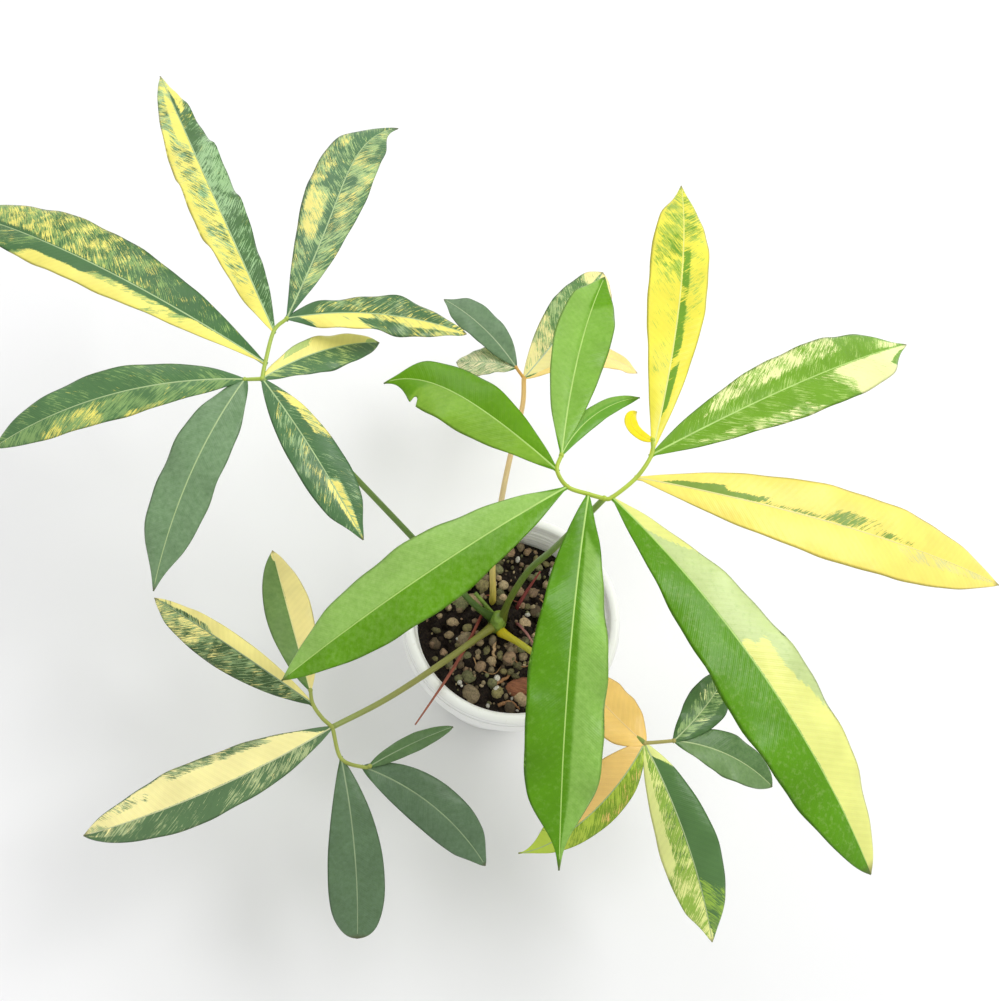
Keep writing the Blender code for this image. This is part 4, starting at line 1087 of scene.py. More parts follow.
def stones(grit_count):
    """The source's stones as uneven lumps, and small grit between them."""
    draw = np.random.default_rng(GRIT_SEED)
    tones = [np.array(linear(code)) for code in STONE_TONES]
    white = np.array(linear(PERLITE_TONE))
    lumps = []
    for x, y, size, stretch, spin in stone_places():
        tone = white if draw.random() < PERLITE_SHARE / 2 else tones[draw.integers(len(tones))]
        centre = (x, y, float(mix_height(x, y)) + STONE_RISE * size)
        radii = STONE_SWELL * size * stretch * np.array([1.0, 1.0, STONE_FLATNESS])
        tone = tone * (0.8 + 0.4 * draw.random())
        lumps.append(lump(centre, radii, spin, 9, 14, draw, 0.16, 1, tone=tone))
    reach = wall_radius(MIX_LEVEL) - 0.003
    for _ in range(grit_count):
        away, turn = reach * math.sqrt(draw.random()), 2 * math.pi * draw.random()
        x, y = away * math.cos(turn), away * math.sin(turn)
        size = GRIT_LEAST_RADIUS + (GRIT_MOST_RADIUS - GRIT_LEAST_RADIUS) * draw.random() ** 2
        tone = white if draw.random() < PERLITE_SHARE else tones[draw.integers(len(tones))]
        tone = tone * (0.6 + 0.5 * draw.random())
        if math.hypot(x - CROWN_CENTRE[0], y - CROWN_CENTRE[1]) < STONE_ROOM_FROM_CROWN * 0.7:
            continue
        centre = (x, y, float(mix_height(x, y)) + float(crumbs(x, y)))
        radii = size * (0.7 + 0.6 * draw.random(3))
        lumps.append(lump(centre, radii, 0.0, 5, 8, draw, 0.2, 1, tone=tone))
    return lumps


def root_shells():
    """Roots along routes over the mix, with a slight wobble of their own."""
    shells = []
    for number, root in enumerate(ROOTS):
        flat = smooth_route([(x, y, 0.0) for x, y in root.route], 14)
        share = np.linspace(0.0, 1.0, len(flat))
        radii = root.radius + (root.end_radius - root.radius) * share
        wobble = 0.0004 * np.sin(share * 21 + number) * np.sin(share * math.pi)
        flat[:, 0] += wobble
        flat[:, 2] = mix_height(flat[:, 0], flat[:, 1]) + root.rise * radii
        ends = np.minimum(share, 1 - share) * 5
        flat[:, 2] -= np.clip(1 - ends, 0, 1) * root.rise * radii * 1.5
        bumps = radii * (1 + 0.12 * np.sin(share * 57 + number))
        shells.append(tube(flat, bumps, 9, 2, tone=np.array(linear(root.tone))))
    return shells


def bark_shell():
    """A flat uneven chip of bark."""
    draw = np.random.default_rng(GRIT_SEED + 1)
    x, y = BARK_CENTRE
    radii = np.array(BARK_SIZE) / 2
    centre = (x, y, float(mix_height(x, y)) + BARK_RISE)
    return lump(centre, radii, math.radians(BARK_TURN), 14, 26, draw, 0.14, 3)


def peat_material(colour):
    """Damp milled peat: nearly black brown fibres with almost no gloss."""
    material, tree, shader = new_material("damp_peat")
    place = add_node(tree, "ShaderNodeTexCoord").outputs["Object"]
    fibre = add_node(tree, "ShaderNodeTexNoise", {"Vector": place, "Scale": 900.0, "Detail": 6.0})
    clod = add_node(tree, "ShaderNodeTexVoronoi", {"Vector": place, "Scale": 480.0})
    fleck = add_node(
        tree,
        "ShaderNodeMapRange",
        {"Value": fibre.outputs["Fac"], "From Min": 0.38, "From Max": 0.70, "To Min": 0.0, "To Max": 1.0},
    )
    shade = add_node(
        tree,
        "ShaderNodeMixRGB",
        {
            "Fac": fleck.outputs["Result"],
            "Color1": (*[c * 0.45 for c in colour], 1),
            "Color2": (*[c * 2.2 for c in colour], 1),
        },
    )
    height = add_node(
        tree,
        "ShaderNodeMath",
        {0: fibre.outputs["Fac"], 1: clod.outputs["Distance"]},
        operation="ADD",
    )
    bump = add_node(tree, "ShaderNodeBump", {"Height": height.outputs[0], "Strength": 0.8, "Distance": 0.0009})
    tree.links.new(shade.outputs["Color"], shader.inputs["Base Color"])
    tree.links.new(bump.outputs["Normal"], shader.inputs["Normal"])
    shader.inputs["Roughness"].default_value = 0.88
    shader.inputs["Specular IOR Level"].default_value = 0.3
    return material


def stone_material():
    """Pumice and perlite: dull porous grains, each of its own tone, with small dark pores."""
    material, tree, shader = new_material("porous_pumice")
    place = add_node(tree, "ShaderNodeTexCoord").outputs["Object"]
    tone = add_node(tree, "ShaderNodeAttribute", attribute_name="tone").outputs["Color"]
    pores = add_node(tree, "ShaderNodeTexVoronoi", {"Vector": place, "Scale": 1500.0})
    cloud = add_node(tree, "ShaderNodeTexNoise", {"Vector": place, "Scale": 700.0, "Detail": 5.0})
    open_pore = add_node(
        tree,
        "ShaderNodeMapRange",
        {"Value": pores.outputs["Distance"], "From Min": 0.1, "From Max": 0.45, "To Min": 0.55, "To Max": 1.0},
    )
    mottle = add_node(
        tree,
        "ShaderNodeMapRange",
        {"Value": cloud.outputs["Fac"], "From Min": 0.3, "From Max": 0.7, "To Min": 0.6, "To Max": 1.25},
    )
    level = add_node(
        tree, "ShaderNodeMath", {0: open_pore.outputs["Result"], 1: mottle.outputs["Result"]}, operation="MULTIPLY"
    )
    shade = add_node(
        tree, "ShaderNodeMixRGB", {"Fac": 1.0, "Color1": tone, "Color2": level.outputs[0]}, blend_type="MULTIPLY"
    )
    bump = add_node(
        tree, "ShaderNodeBump", {"Height": level.outputs[0], "Strength": 0.7, "Distance": 0.0005}
    )
    tree.links.new(shade.outputs["Color"], shader.inputs["Base Color"])
    tree.links.new(bump.outputs["Normal"], shader.inputs["Normal"])
    shader.inputs["Roughness"].default_value = 0.9
    return material


def root_material():
    """Living root skin: tan and slightly waxy, with fine rings along it."""
    material, tree, shader = new_material("root_skin")
    place = add_node(tree, "ShaderNodeTexCoord").outputs["Object"]
    tone = add_node(tree, "ShaderNodeAttribute", attribute_name="tone").outputs["Color"]
    cloud = add_node(tree, "ShaderNodeTexNoise", {"Vector": place, "Scale": 1400.0, "Detail": 4.0})
    level = add_node(
        tree,
        "ShaderNodeMapRange",
        {"Value": cloud.outputs["Fac"], "From Min": 0.3, "From Max": 0.7, "To Min": 0.6, "To Max": 1.2},
    )
    shade = add_node(
        tree, "ShaderNodeMixRGB", {"Fac": 1.0, "Color1": tone, "Color2": level.outputs["Result"]}, blend_type="MULTIPLY"
    )
    bump = add_node(tree, "ShaderNodeBump", {"Height": cloud.outputs["Fac"], "Strength": 0.4, "Distance": 0.0003})
    tree.links.new(shade.outputs["Color"], shader.inputs["Base Color"])
    tree.links.new(bump.outputs["Normal"], shader.inputs["Normal"])
    shader.inputs["Roughness"].default_value = 0.6
    return material


def bark_material():
    """Composted pine bark: red-brown layers with dark cracks."""
    material, tree, shader = new_material("pine_bark")
    place = add_node(tree, "ShaderNodeTexCoord").outputs["Object"]
    stretched = add_node(tree, "ShaderNodeMapping", {"Vector": place, "Scale": (300.0, 1400.0, 900.0)})
    grain = add_node(
        tree, "ShaderNodeTexNoise", {"Vector": stretched.outputs["Vector"], "Scale": 1.0, "Detail": 5.0}
    )
    shade = add_node(
        tree,
        "ShaderNodeMixRGB",
        {"Fac": grain.outputs["Fac"], "Color1": (*linear("#4A2416"), 1), "Color2": (*linear("#B0714E"), 1)},
    )
    bump = add_node(tree, "ShaderNodeBump", {"Height": grain.outputs["Fac"], "Strength": 0.8, "Distance": 0.0008})
    tree.links.new(shade.outputs["Color"], shader.inputs["Base Color"])
    tree.links.new(bump.outputs["Normal"], shader.inputs["Normal"])
    shader.inputs["Roughness"].default_value = 0.8
    return material


class PHILODENDRON_OT_mix(bpy.types.Operator):
    """Build the potting mix with its stones, grit, roots and bark"""

    bl_idname = "philodendron.mix"
    bl_label = "Potting mix"

    def execute(self, context):
        settings = context.scene.philodendron_mix
        shells = [mix_shell(settings), *stones(settings.grit), *root_shells(), bark_shell()]
        materials = [peat_material(settings.peat), stone_material(), root_material(), bark_material()]
        piece_from("peat_and_stones", shells, materials, ["potting_mix"])
        return {"FINISHED"}


def crown_material(colour):
    """Young stem skin: olive green, paler in soft patches, with a slight wax gloss."""
    material, tree, shader = new_material("stem_skin")
    place = add_node(tree, "ShaderNodeTexCoord").outputs["Object"]
    cloud = add_node(tree, "ShaderNodeTexNoise", {"Vector": place, "Scale": 260.0, "Detail": 5.0})
    level = add_node(
        tree,
        "ShaderNodeMapRange",
        {"Value": cloud.outputs["Fac"], "From Min": 0.35, "From Max": 0.65, "To Min": 0.0, "To Max": 1.0},
    )
    shade = add_node(
        tree,
        "ShaderNodeMixRGB",
        {"Fac": level.outputs["Result"], "Color1": (*colour, 1), "Color2": (*[c * 1.7 for c in colour], 1)},
    )
    bump = add_node(tree, "ShaderNodeBump", {"Height": cloud.outputs["Fac"], "Strength": 0.3, "Distance": 0.0006})
    tree.links.new(shade.outputs["Color"], shader.inputs["Base Color"])
    tree.links.new(bump.outputs["Normal"], shader.inputs["Normal"])
    shader.inputs["Roughness"].default_value = 0.45
    return material


class PHILODENDRON_OT_crown(bpy.types.Operator):
    """Build the crown with its ring scars and old stub"""

    bl_idname = "philodendron.crown"
    bl_label = "Crown"

    def execute(self, context):
        x, y, z = CROWN_CENTRE
        polar = np.linspace(math.pi, 0.0, 50)[1:-1, None]
        turn = np.linspace(0.0, 2 * math.pi, 48, endpoint=False)[None, :]
        scars = 1 - 0.035 * np.abs(np.sin(polar * 7 + 0.4 * np.sin(turn)))
        directions = [np.sin(polar) * np.cos(turn), np.sin(polar) * np.sin(turn), np.cos(polar) * np.ones_like(turn)]
        rings = np.stack(directions, -1) * np.array(CROWN_RADII) * scars[..., None] + np.array(CROWN_CENTRE)
        foot = tube([(x, y, CROWN_FOOT_BOTTOM), (x, y, z)], CROWN_FOOT_RADIUS * 0.98, 24)
        path = smooth_route(STUB_PATH, 8)
        stub = tube(path, np.linspace(STUB_RADIUS, STUB_END_RADIUS, len(path)) * 0.98, 16)
        material = crown_material(context.scene.philodendron_leaves.crown_skin)
        piece_from("crown_stem", [shell(rings), foot, stub], [material], ["crown"])
        return {"FINISHED"}


def turn_along(leaflet, share):
    """The midrib's heading and pitch in radians at a share of its length. Both change evenly, but for the
    hook, a power of the share, which turns the tip further."""
    heading = np.radians(leaflet.heading + leaflet.sweep * share + leaflet.hook * share**HOOK_POWER)
    pitch = np.radians(leaflet.rise - leaflet.droop * share)
    return heading, pitch


def along_midrib(heading, pitch):
    """Unit steps with the given headings and pitches."""
    return np.stack([np.cos(pitch) * np.cos(heading), np.cos(pitch) * np.sin(heading), np.sin(pitch)], 1)


def midrib(leaflet, foot, shares):
    """Places along the midrib at shares of its length: the sum of its unit steps."""
    middles = (np.arange(MIDRIB_STEPS) + 0.5) / MIDRIB_STEPS
    steps = along_midrib(*turn_along(leaflet, middles)) * leaflet.length / MIDRIB_STEPS
    places = np.vstack([np.zeros(3), np.cumsum(steps, 0)])
    ends = np.linspace(0.0, 1.0, MIDRIB_STEPS + 1)
    start = np.array(foot) - BLADE_FOOT_SINK * steps[0] / np.linalg.norm(steps[0])
    return start + np.stack([np.interp(shares, ends, places[:, axis]) for axis in range(3)], 1)


def outline(leaflet, share):
    """A power curve that opens at the foot, is 1 at its widest and closes at the tip. The tail draws it in
    before the tip, by a smooth step, so that a narrow point is left."""
    opens, closes = leaflet.base, leaflet.tip
    widest = opens / (opens + closes)
    curve = share**opens * (1 - share) ** closes / (widest**opens * (1 - widest) ** closes)
    step = np.clip((share - TAIL_START) / TAIL_REACH, 0.0, 1.0)
    return curve * (1 - leaflet.tail * step**2 * (3 - 2 * step))


def blade_axes(leaflet, share):
    """Unit vectors along the midrib, to its left and up from the blade, with the blade's roll."""
    heading, pitch = turn_along(leaflet, share)
    along = along_midrib(heading, pitch)
    level = np.stack([-np.sin(heading), np.cos(heading), np.zeros(len(share))], 1)
    above = np.cross(along, level)
    roll = math.radians(leaflet.roll)
    side = level * math.cos(roll) + above * math.sin(roll)
    up = above * math.cos(roll) - level * math.sin(roll)
    return along, side, up


def marking_and_sheen(patches, share, across):
    """How much cream and pale green there is at each point: each patch is laid over the ones before it, with
    soft steps at its ends and sides. On frond_a's plain leaflets the pale green is painted sheen."""
    cream = np.zeros(across.shape)
    pale = np.zeros(across.shape)
    away = np.abs(across)
    for patch in patches:
        place = share - patch.slant * away
        spread = max(patch.soft, 0.004)
        cover = soft_step((place - patch.start) / spread + 0.5) * soft_step((patch.end - place) / spread + 0.5)
        cover = cover * soft_step((away - patch.inner) / (3 * spread) + (0.5 if patch.inner > 0 else 1.0))
        cover = cover * soft_step((patch.outer - away) / (3 * spread) + 0.5)
        if patch.side:
            cover = cover * (across * patch.side > 0)
        cream = cream + (patch.cream - cream) * cover
        pale = pale + (patch.pale - pale) * cover
    return cream, pale


def blade_shell(leaflet, foot, number, look, bite):
    """A thin leaf blade: its closed cross-section of half width w runs over the top from left to right and
    back below, carried along the midrib. A point at share t of w is midrib + w (t + lean |t|) side + lift up,
    where the lift folds the halves up, turns the margins down and ripples them."""
    even = np.linspace(0.0, 1.0, BLADE_ROWS)
    share = even - 0.6 * np.sin(2 * math.pi * even) / (2 * math.pi)
    along, side, up = blade_axes(leaflet, share)
    open_share = outline(leaflet, share)
    least = BLADE_FOOT_HALF_WIDTH * (1 - share) + BLADE_TIP_HALF_WIDTH * share
    half = np.maximum(leaflet.width / 2 * open_share, least)[:, None]
    over = np.linspace(1.0, -1.0, BLADE_COLUMNS + 1)
    over = np.sign(over) * np.abs(over) ** 1.2
    across = np.concatenate([over, over[-2:0:-1]])[None, :]
    face = np.concatenate([np.ones(BLADE_COLUMNS + 1), -np.ones(BLADE_COLUMNS - 1)])[None, :]
    ripples = max(LEAST_RIPPLES, RIPPLES_PER_METRE * leaflet.length)
    phase = LEAFLET_PHASE * number
    ripple = np.sin(2 * math.pi * (ripples * share[:, None] + phase + SIDE_PHASE * np.sign(across)))
    lift = half * leaflet.fold * (np.abs(across) - MARGIN_DROP * across**2)
    lift = lift + leaflet.wave * open_share[:, None] * np.abs(across) ** RIPPLE_POWER * ripple
    crinkle = np.sin(2 * math.pi * (CRINKLES * ripples * share[:, None] + phase - SIDE_PHASE * np.sign(across)))
    lift = lift + CRINKLE_HEIGHT * leaflet.wave * open_share[:, None] * across**4 * crinkle
    thick = BLADE_THICKNESS / 2 * (1 - across**6)
    sideways = half * (across + leaflet.lean * np.abs(across))
    if bite:
        near = np.exp(-(((share - bite.share) / bite.reach) ** 4))[:, None]
        cut = 1 - bite.depth * near
        sideways = np.where(across * bite.side > 0, sideways * cut, sideways)
    centre = midrib(leaflet, foot, share)[:, None]
    rings = centre + sideways[..., None] * side[:, None] + (lift + face * thick)[..., None] * up[:, None]
    cream, pale = marking_and_sheen(look.patches, share[:, None], np.broadcast_to(across, sideways.shape))
    uv = np.stack(np.broadcast_arrays(sideways, (share * leaflet.length)[:, None]), -1)
    underside = np.broadcast_to(face < 0, sideways.shape)
    return shell(
        rings,
        0,
        uv,
        cream_level=cream,
        pale_level=pale,
        underside=underside,
        leaflet_number=float(number),
        ragged=float(look.ragged),
        tip_dark=np.broadcast_to(soft_step((share[:, None] - TIP_DARK_START) / TIP_DARK_REACH), sideways.shape),
        deep_tone=np.array(linear(look.deep)),
        pale_tone=np.array(linear(look.pale)),
        cream_tone=np.array(linear(look.cream)),
    )


def rib_shell(leaflet, foot, tone):
    """The midrib: a round rib sunk in the blade so that its crest stands proud, thinner towards the tip."""
    share = np.linspace(0.0, 0.97, 60)
    size = min(1.0, leaflet.width / RIB_WIDE_LEAF) ** 0.6
    radii = size * (RIB_FOOT_RADIUS + (RIB_TIP_RADIUS - RIB_FOOT_RADIUS) * share**0.7)
    path = midrib(leaflet, foot, share) + blade_axes(leaflet, share)[2] * (RIB_TOP - radii[:, None])
    return tube(path, radii, 10, 1, tone=tone)


def stalk_shells(frond):
    """The stalk with its flared foot, its arms and a small knot at the hub."""
    route = smooth_route(frond.stalk, 16)
    share = np.linspace(0.0, 1.0, len(route))
    radii = STALK_FOOT_RADIUS + (STALK_TOP_RADIUS - STALK_FOOT_RADIUS) * share
    away = np.linalg.norm(route - route[0], axis=1)
    radii = radii + FLARE * np.exp(-away / FLARE_LENGTH)
    marks = np.array([linear(code) for code in frond.stalk_tones])
    places = np.linspace(0.0, 1.0, len(marks))
    tones = np.stack([np.interp(share, places, marks[:, channel]) for channel in range(3)], 1)
    arm_tone = np.array(linear(frond.arm_tone))
    shells = [tube(route, radii * 0.99, 16, 1, tone=tones)]
    draw = np.random.default_rng(1)
    shells.append(lump(frond.stalk[-1], (HUB_RADIUS,) * 3, 0.0, 10, 16, draw, 0.03, 1, tone=arm_tone))
    for arm in frond.arms:
        path = smooth_route(arm, 10)
        shells.append(tube(path, np.linspace(ARM_RADIUS, ARM_END_RADIUS, len(path)), 14, 1, tone=arm_tone))
        shells.append(lump(arm[-1], (KNOT_RADIUS,) * 3, 0.0, 8, 12, draw, 0.03, 1, tone=arm_tone))
    return shells


def leaf_material(name, settings):
    """Living leaf blade: a waxy cuticle over green tissue with cream sectors that lack green. The eye sees a
    soft sheen, streaks that run forward from the midrib, and a paler matt underside."""
    material, tree, shader = new_material(name)
    places = add_node(
        tree,
        "ShaderNodeSeparateXYZ",
        {"Vector": add_node(tree, "ShaderNodeUVMap", uv_map="surface").outputs["UV"]},
    )
    sideways, forward = places.outputs["X"], places.outputs["Y"]
    away = add_node(tree, "ShaderNodeMath", {0: sideways}, operation="ABSOLUTE").outputs[0]
    right_half = add_node(tree, "ShaderNodeMath", {0: sideways, 1: 0.0}, operation="LESS_THAN").outputs[0]
    number = add_node(tree, "ShaderNodeAttribute", attribute_name="leaflet_number").outputs["Fac"]
    lane = add_node(
        tree, "ShaderNodeMath", {0: number, 1: 7.31, 2: right_half}, operation="MULTIPLY_ADD"
    ).outputs[0]
    lane = add_node(tree, "ShaderNodeMath", {0: lane, 1: 13.7}, operation="MULTIPLY").outputs[0]
    # A streak leaves the midrib at a slant and bends forward: it keeps forward - away (slope + bend away).
    slope = add_node(
        tree, "ShaderNodeMath", {0: away, 1: STREAK_BEND, 2: STREAK_SLOPE}, operation="MULTIPLY_ADD"
    ).outputs[0]
    run = add_node(tree, "ShaderNodeMath", {0: away, 1: slope}, operation="MULTIPLY").outputs[0]
    start = add_node(tree, "ShaderNodeMath", {0: forward, 1: run}, operation="SUBTRACT").outputs[0]
    across_streak = add_node(
        tree, "ShaderNodeMath", {0: start, 1: 1 / settings.streak_width}, operation="MULTIPLY"
    ).outputs[0]
    along_streak = add_node(
        tree, "ShaderNodeMath", {0: run, 1: 1 / (settings.streak_width * 9)}, operation="MULTIPLY"
    ).outputs[0]
    streak_place = add_node(
        tree, "ShaderNodeCombineXYZ", {"X": along_streak, "Y": across_streak, "Z": lane}
    ).outputs["Vector"]
    object_place = add_node(tree, "ShaderNodeTexCoord").outputs["Object"]
    masks = {}
    for kind, offset in (("cream", 0.0), ("pale", 41.3)):
        moved = add_node(
            tree, "ShaderNodeVectorMath", {0: streak_place, 1: (offset, offset, offset)}, operation="ADD"
        ).outputs["Vector"]
        streaks = add_node(
            tree,
            "ShaderNodeTexNoise",
            {"Vector": moved, "Scale": 1.0, "Detail": 5.0, "Roughness": 0.66, "Distortion": 0.6},
        ).outputs["Fac"]
        shifted = add_node(
            tree, "ShaderNodeVectorMath", {0: object_place, 1: (offset, 0.0, 0.0)}, operation="ADD"
        ).outputs["Vector"]
        clumps = add_node(
            tree, "ShaderNodeTexNoise", {"Vector": shifted, "Scale": 140.0, "Detail": 3.0}
        ).outputs["Fac"]
        noise = add_node(
            tree, "ShaderNodeMath", {0: streaks, 1: 2.2, 2: clumps}, operation="MULTIPLY_ADD"
        ).outputs[0]
        swing = add_node(
            tree,
            "ShaderNodeMapRange",
            {"Value": noise, "From Min": 1.18, "From Max": 2.02, "To Min": -0.44, "To Max": 0.44},
        ).outputs["Result"]
        level = add_node(tree, "ShaderNodeAttribute", attribute_name=f"{kind}_level").outputs["Fac"]
        total = add_node(tree, "ShaderNodeMath", {0: level, 1: swing}, operation="ADD").outputs[0]
        masks[kind] = add_node(
            tree,
            "ShaderNodeMapRange",
            {"Value": total, "From Min": 0.47, "From Max": 0.53, "To Min": 0.0, "To Max": 1.0},
        ).outputs["Result"]
    # Where a leaflet isn't streaky, its pale green fades in evenly, with small water marks; on frond_a's plain leaflets
    # this even pale green is painted sheen.
    spots = add_node(
        tree, "ShaderNodeTexNoise", {"Vector": object_place, "Scale": 420.0, "Detail": 6.0, "Roughness": 0.72}
    ).outputs["Fac"]
    pale_level = add_node(tree, "ShaderNodeAttribute", attribute_name="pale_level").outputs["Fac"]
    spotted = add_node(
        tree, "ShaderNodeMath", {0: spots, 1: 1.0, 2: pale_level}, operation="MULTIPLY_ADD"
    ).outputs[0]
    even_pale_and_sheen = add_node(
        tree,
        "ShaderNodeMapRange",
        {"Value": spotted, "From Min": 0.51, "From Max": 1.49, "To Min": 0.0, "To Max": 1.0},
    ).outputs["Result"]
    ragged = add_node(tree, "ShaderNodeAttribute", attribute_name="ragged").outputs["Fac"]
    masks["pale"] = add_node(
        tree, "ShaderNodeMixRGB", {"Fac": ragged, "Color1": even_pale_and_sheen, "Color2": masks["pale"]}
    ).outputs["Color"]
    tones = {
        kind: add_node(tree, "ShaderNodeAttribute", attribute_name=f"{kind}_tone").outputs["Color"]
        for kind in ("deep", "pale", "cream")
    }
    green = add_node(
        tree, "ShaderNodeMixRGB", {"Fac": masks["pale"], "Color1": tones["deep"], "Color2": tones["pale"]}
    ).outputs["Color"]
    colour = add_node(
        tree, "ShaderNodeMixRGB", {"Fac": masks["cream"], "Color1": green, "Color2": tones["cream"]}
    ).outputs["Color"]
    # Side veins are only just sunk and lighter, with finer ones between them.
    vein_start = add_node(
        tree, "ShaderNodeMath", {0: away, 1: -VEIN_SLOPE, 2: forward}, operation="MULTIPLY_ADD"
    ).outputs[0]
    turns = add_node(
        tree, "ShaderNodeMath", {0: vein_start, 1: 2 * math.pi / settings.vein_spacing}, operation="MULTIPLY"
    ).outputs[0]
    main_vein = add_node(tree, "ShaderNodeMath", {0: turns}, operation="SINE").outputs[0]
    fine_turns = add_node(tree, "ShaderNodeMath", {0: turns, 1: 3.0}, operation="MULTIPLY").outputs[0]
    fine_vein = add_node(tree, "ShaderNodeMath", {0: fine_turns}, operation="SINE").outputs[0]
    relief = add_node(
        tree, "ShaderNodeMath", {0: fine_vein, 1: 0.5, 2: main_vein}, operation="MULTIPLY_ADD"
    ).outputs[0]
    cloud = add_node(
        tree, "ShaderNodeTexNoise", {"Vector": object_place, "Scale": 60.0, "Detail": 3.0}
    ).outputs["Fac"]
    lit = add_node(
        tree,
        "ShaderNodeMapRange",
        {"Value": cloud, "From Min": 0.3, "From Max": 0.7, "To Min": 0.92, "To Max": 1.08},
    ).outputs["Result"]
    veined = add_node(tree, "ShaderNodeMath", {0: relief, 1: 0.014, 2: lit}, operation="MULTIPLY_ADD").outputs[0]
    shaded = add_node(
        tree, "ShaderNodeMixRGB", {"Fac": 1.0, "Color1": colour, "Color2": veined}, blend_type="MULTIPLY"
    ).outputs["Color"]
    tip_dark = add_node(tree, "ShaderNodeAttribute", attribute_name="tip_dark").outputs["Fac"]
    dried = add_node(tree, "ShaderNodeMath", {0: tip_dark, 1: 0.7}, operation="MULTIPLY").outputs[0]
    tipped = add_node(
        tree, "ShaderNodeMixRGB", {"Fac": dried, "Color1": shaded, "Color2": (*linear("#55503A"), 1)}
    ).outputs["Color"]
    underside = add_node(tree, "ShaderNodeAttribute", attribute_name="underside").outputs["Fac"]
    below = add_node(tree, "ShaderNodeMath", {0: underside, 1: 0.4}, operation="MULTIPLY").outputs[0]
    final = add_node(
        tree, "ShaderNodeMixRGB", {"Fac": below, "Color1": tipped, "Color2": (*linear("#B8CC8E"), 1)}
    ).outputs["Color"]
    rough = add_node(
        tree, "ShaderNodeMapRange", {"Value": underside, "To Min": 0.30, "To Max": 0.62}
    ).outputs["Result"]
    height = add_node(tree, "ShaderNodeMath", {0: spots, 1: 2.0, 2: relief}, operation="MULTIPLY_ADD").outputs[0]
    uneven = add_node(tree, "ShaderNodeBump", {"Height": cloud, "Strength": 0.20, "Distance": 0.0040})
    bump = add_node(
        tree,
        "ShaderNodeBump",
        {"Height": height, "Strength": 0.10, "Distance": 0.0003, "Normal": uneven.outputs["Normal"]},
    )
    tree.links.new(final, shader.inputs["Base Color"])
    tree.links.new(rough, shader.inputs["Roughness"])
    tree.links.new(bump.outputs["Normal"], shader.inputs["Normal"])
    shader.inputs["IOR"].default_value = 1.45
    shader.inputs["Specular IOR Level"].default_value = 0.25
    shader.inputs["Subsurface Weight"].default_value = 0.08
    shader.inputs["Subsurface Radius"].default_value = (0.0015, 0.0020, 0.0008)
    return material


def stalk_material(name):
    """Living stalk skin: smooth and juicy, with faint lengthwise streaks and a soft wax gloss."""
    material, tree, shader = new_material(name)
    tone = add_node(tree, "ShaderNodeAttribute", attribute_name="tone").outputs["Color"]
    lengthwise = add_node(
        tree,
        "ShaderNodeMapping",
        {"Vector": add_node(tree, "ShaderNodeUVMap", uv_map="surface").outputs["UV"], "Scale": (2400.0, 120.0, 1.0)},
    )
    streak = add_node(
        tree, "ShaderNodeTexNoise", {"Vector": lengthwise.outputs["Vector"], "Scale": 1.0, "Detail": 4.0}
    ).outputs["Fac"]
    level = add_node(
        tree, "ShaderNodeMapRange", {"Value": streak, "From Min": 0.3, "From Max": 0.7, "To Min": 0.85, "To Max": 1.15}
    ).outputs["Result"]
    shade = add_node(
        tree, "ShaderNodeMixRGB", {"Fac": 1.0, "Color1": tone, "Color2": level}, blend_type="MULTIPLY"
    )
    bump = add_node(tree, "ShaderNodeBump", {"Height": streak, "Strength": 0.15, "Distance": 0.0002})
    tree.links.new(shade.outputs["Color"], shader.inputs["Base Color"])
    tree.links.new(bump.outputs["Normal"], shader.inputs["Normal"])
    shader.inputs["Roughness"].default_value = 0.38
    shader.inputs["Specular IOR Level"].default_value = 0.4
    shader.inputs["Subsurface Weight"].default_value = 0.08
    shader.inputs["Subsurface Radius"].default_value = (0.001, 0.0015, 0.0006)
    return material


class PHILODENDRON_OT_fronds(bpy.types.Operator):
    """Build the five fronds with their stalks, arms, ribs and marked leaflets"""

    bl_idname = "philodendron.fronds"
    bl_label = "Fronds"

    def execute(self, context):
        settings = context.scene.philodendron_leaves
        for frond in FRONDS:
            shells = stalk_shells(frond)
            for number, (leaflet, look) in enumerate(zip(frond.leaflets, frond.looks)):
                foot = frond.arms[leaflet.arm][leaflet.point]
                bites = [b for b in BITES if (b.frond, b.leaflet) == (frond.name, number)]
                shells.append(blade_shell(leaflet, foot, number, look, bites[0] if bites else None))
                shells.append(rib_shell(leaflet, foot, np.array(linear(look.rib or frond.rib_tone))))
            materials = [
                leaf_material(f"{frond.name}_leaf_cuticle", settings),
                stalk_material(f"{frond.name}_stalk_skin"),
            ]
            piece_from(f"{frond.name}_leaves", shells, materials, [frond.name])
        return {"FINISHED"}


def sheath_material():
    """Dried leaf sheath: papery red-brown skin with lengthwise wrinkles and almost no gloss."""
    material, tree, shader = new_material("dried_sheath_skin")
    tone = add_node(tree, "ShaderNodeAttribute", attribute_name="tone").outputs["Color"]
    lengthwise = add_node(
        tree,
        "ShaderNodeMapping",
        {"Vector": add_node(tree, "ShaderNodeUVMap", uv_map="surface").outputs["UV"], "Scale": (2600.0, 160.0, 1.0)},
    )
    wrinkle = add_node(
        tree, "ShaderNodeTexNoise", {"Vector": lengthwise.outputs["Vector"], "Scale": 1.0, "Detail": 5.0}
    ).outputs["Fac"]
    level = add_node(
        tree, "ShaderNodeMapRange", {"Value": wrinkle, "From Min": 0.3, "From Max": 0.7, "To Min": 0.6, "To Max": 1.3}
    ).outputs["Result"]
    shade = add_node(
        tree, "ShaderNodeMixRGB", {"Fac": 1.0, "Color1": tone, "Color2": level}, blend_type="MULTIPLY"
    )
    bump = add_node(tree, "ShaderNodeBump", {"Height": wrinkle, "Strength": 0.6, "Distance": 0.0004})
    tree.links.new(shade.outputs["Color"], shader.inputs["Base Color"])
    tree.links.new(bump.outputs["Normal"], shader.inputs["Normal"])
    shader.inputs["Roughness"].default_value = 0.6
    return material


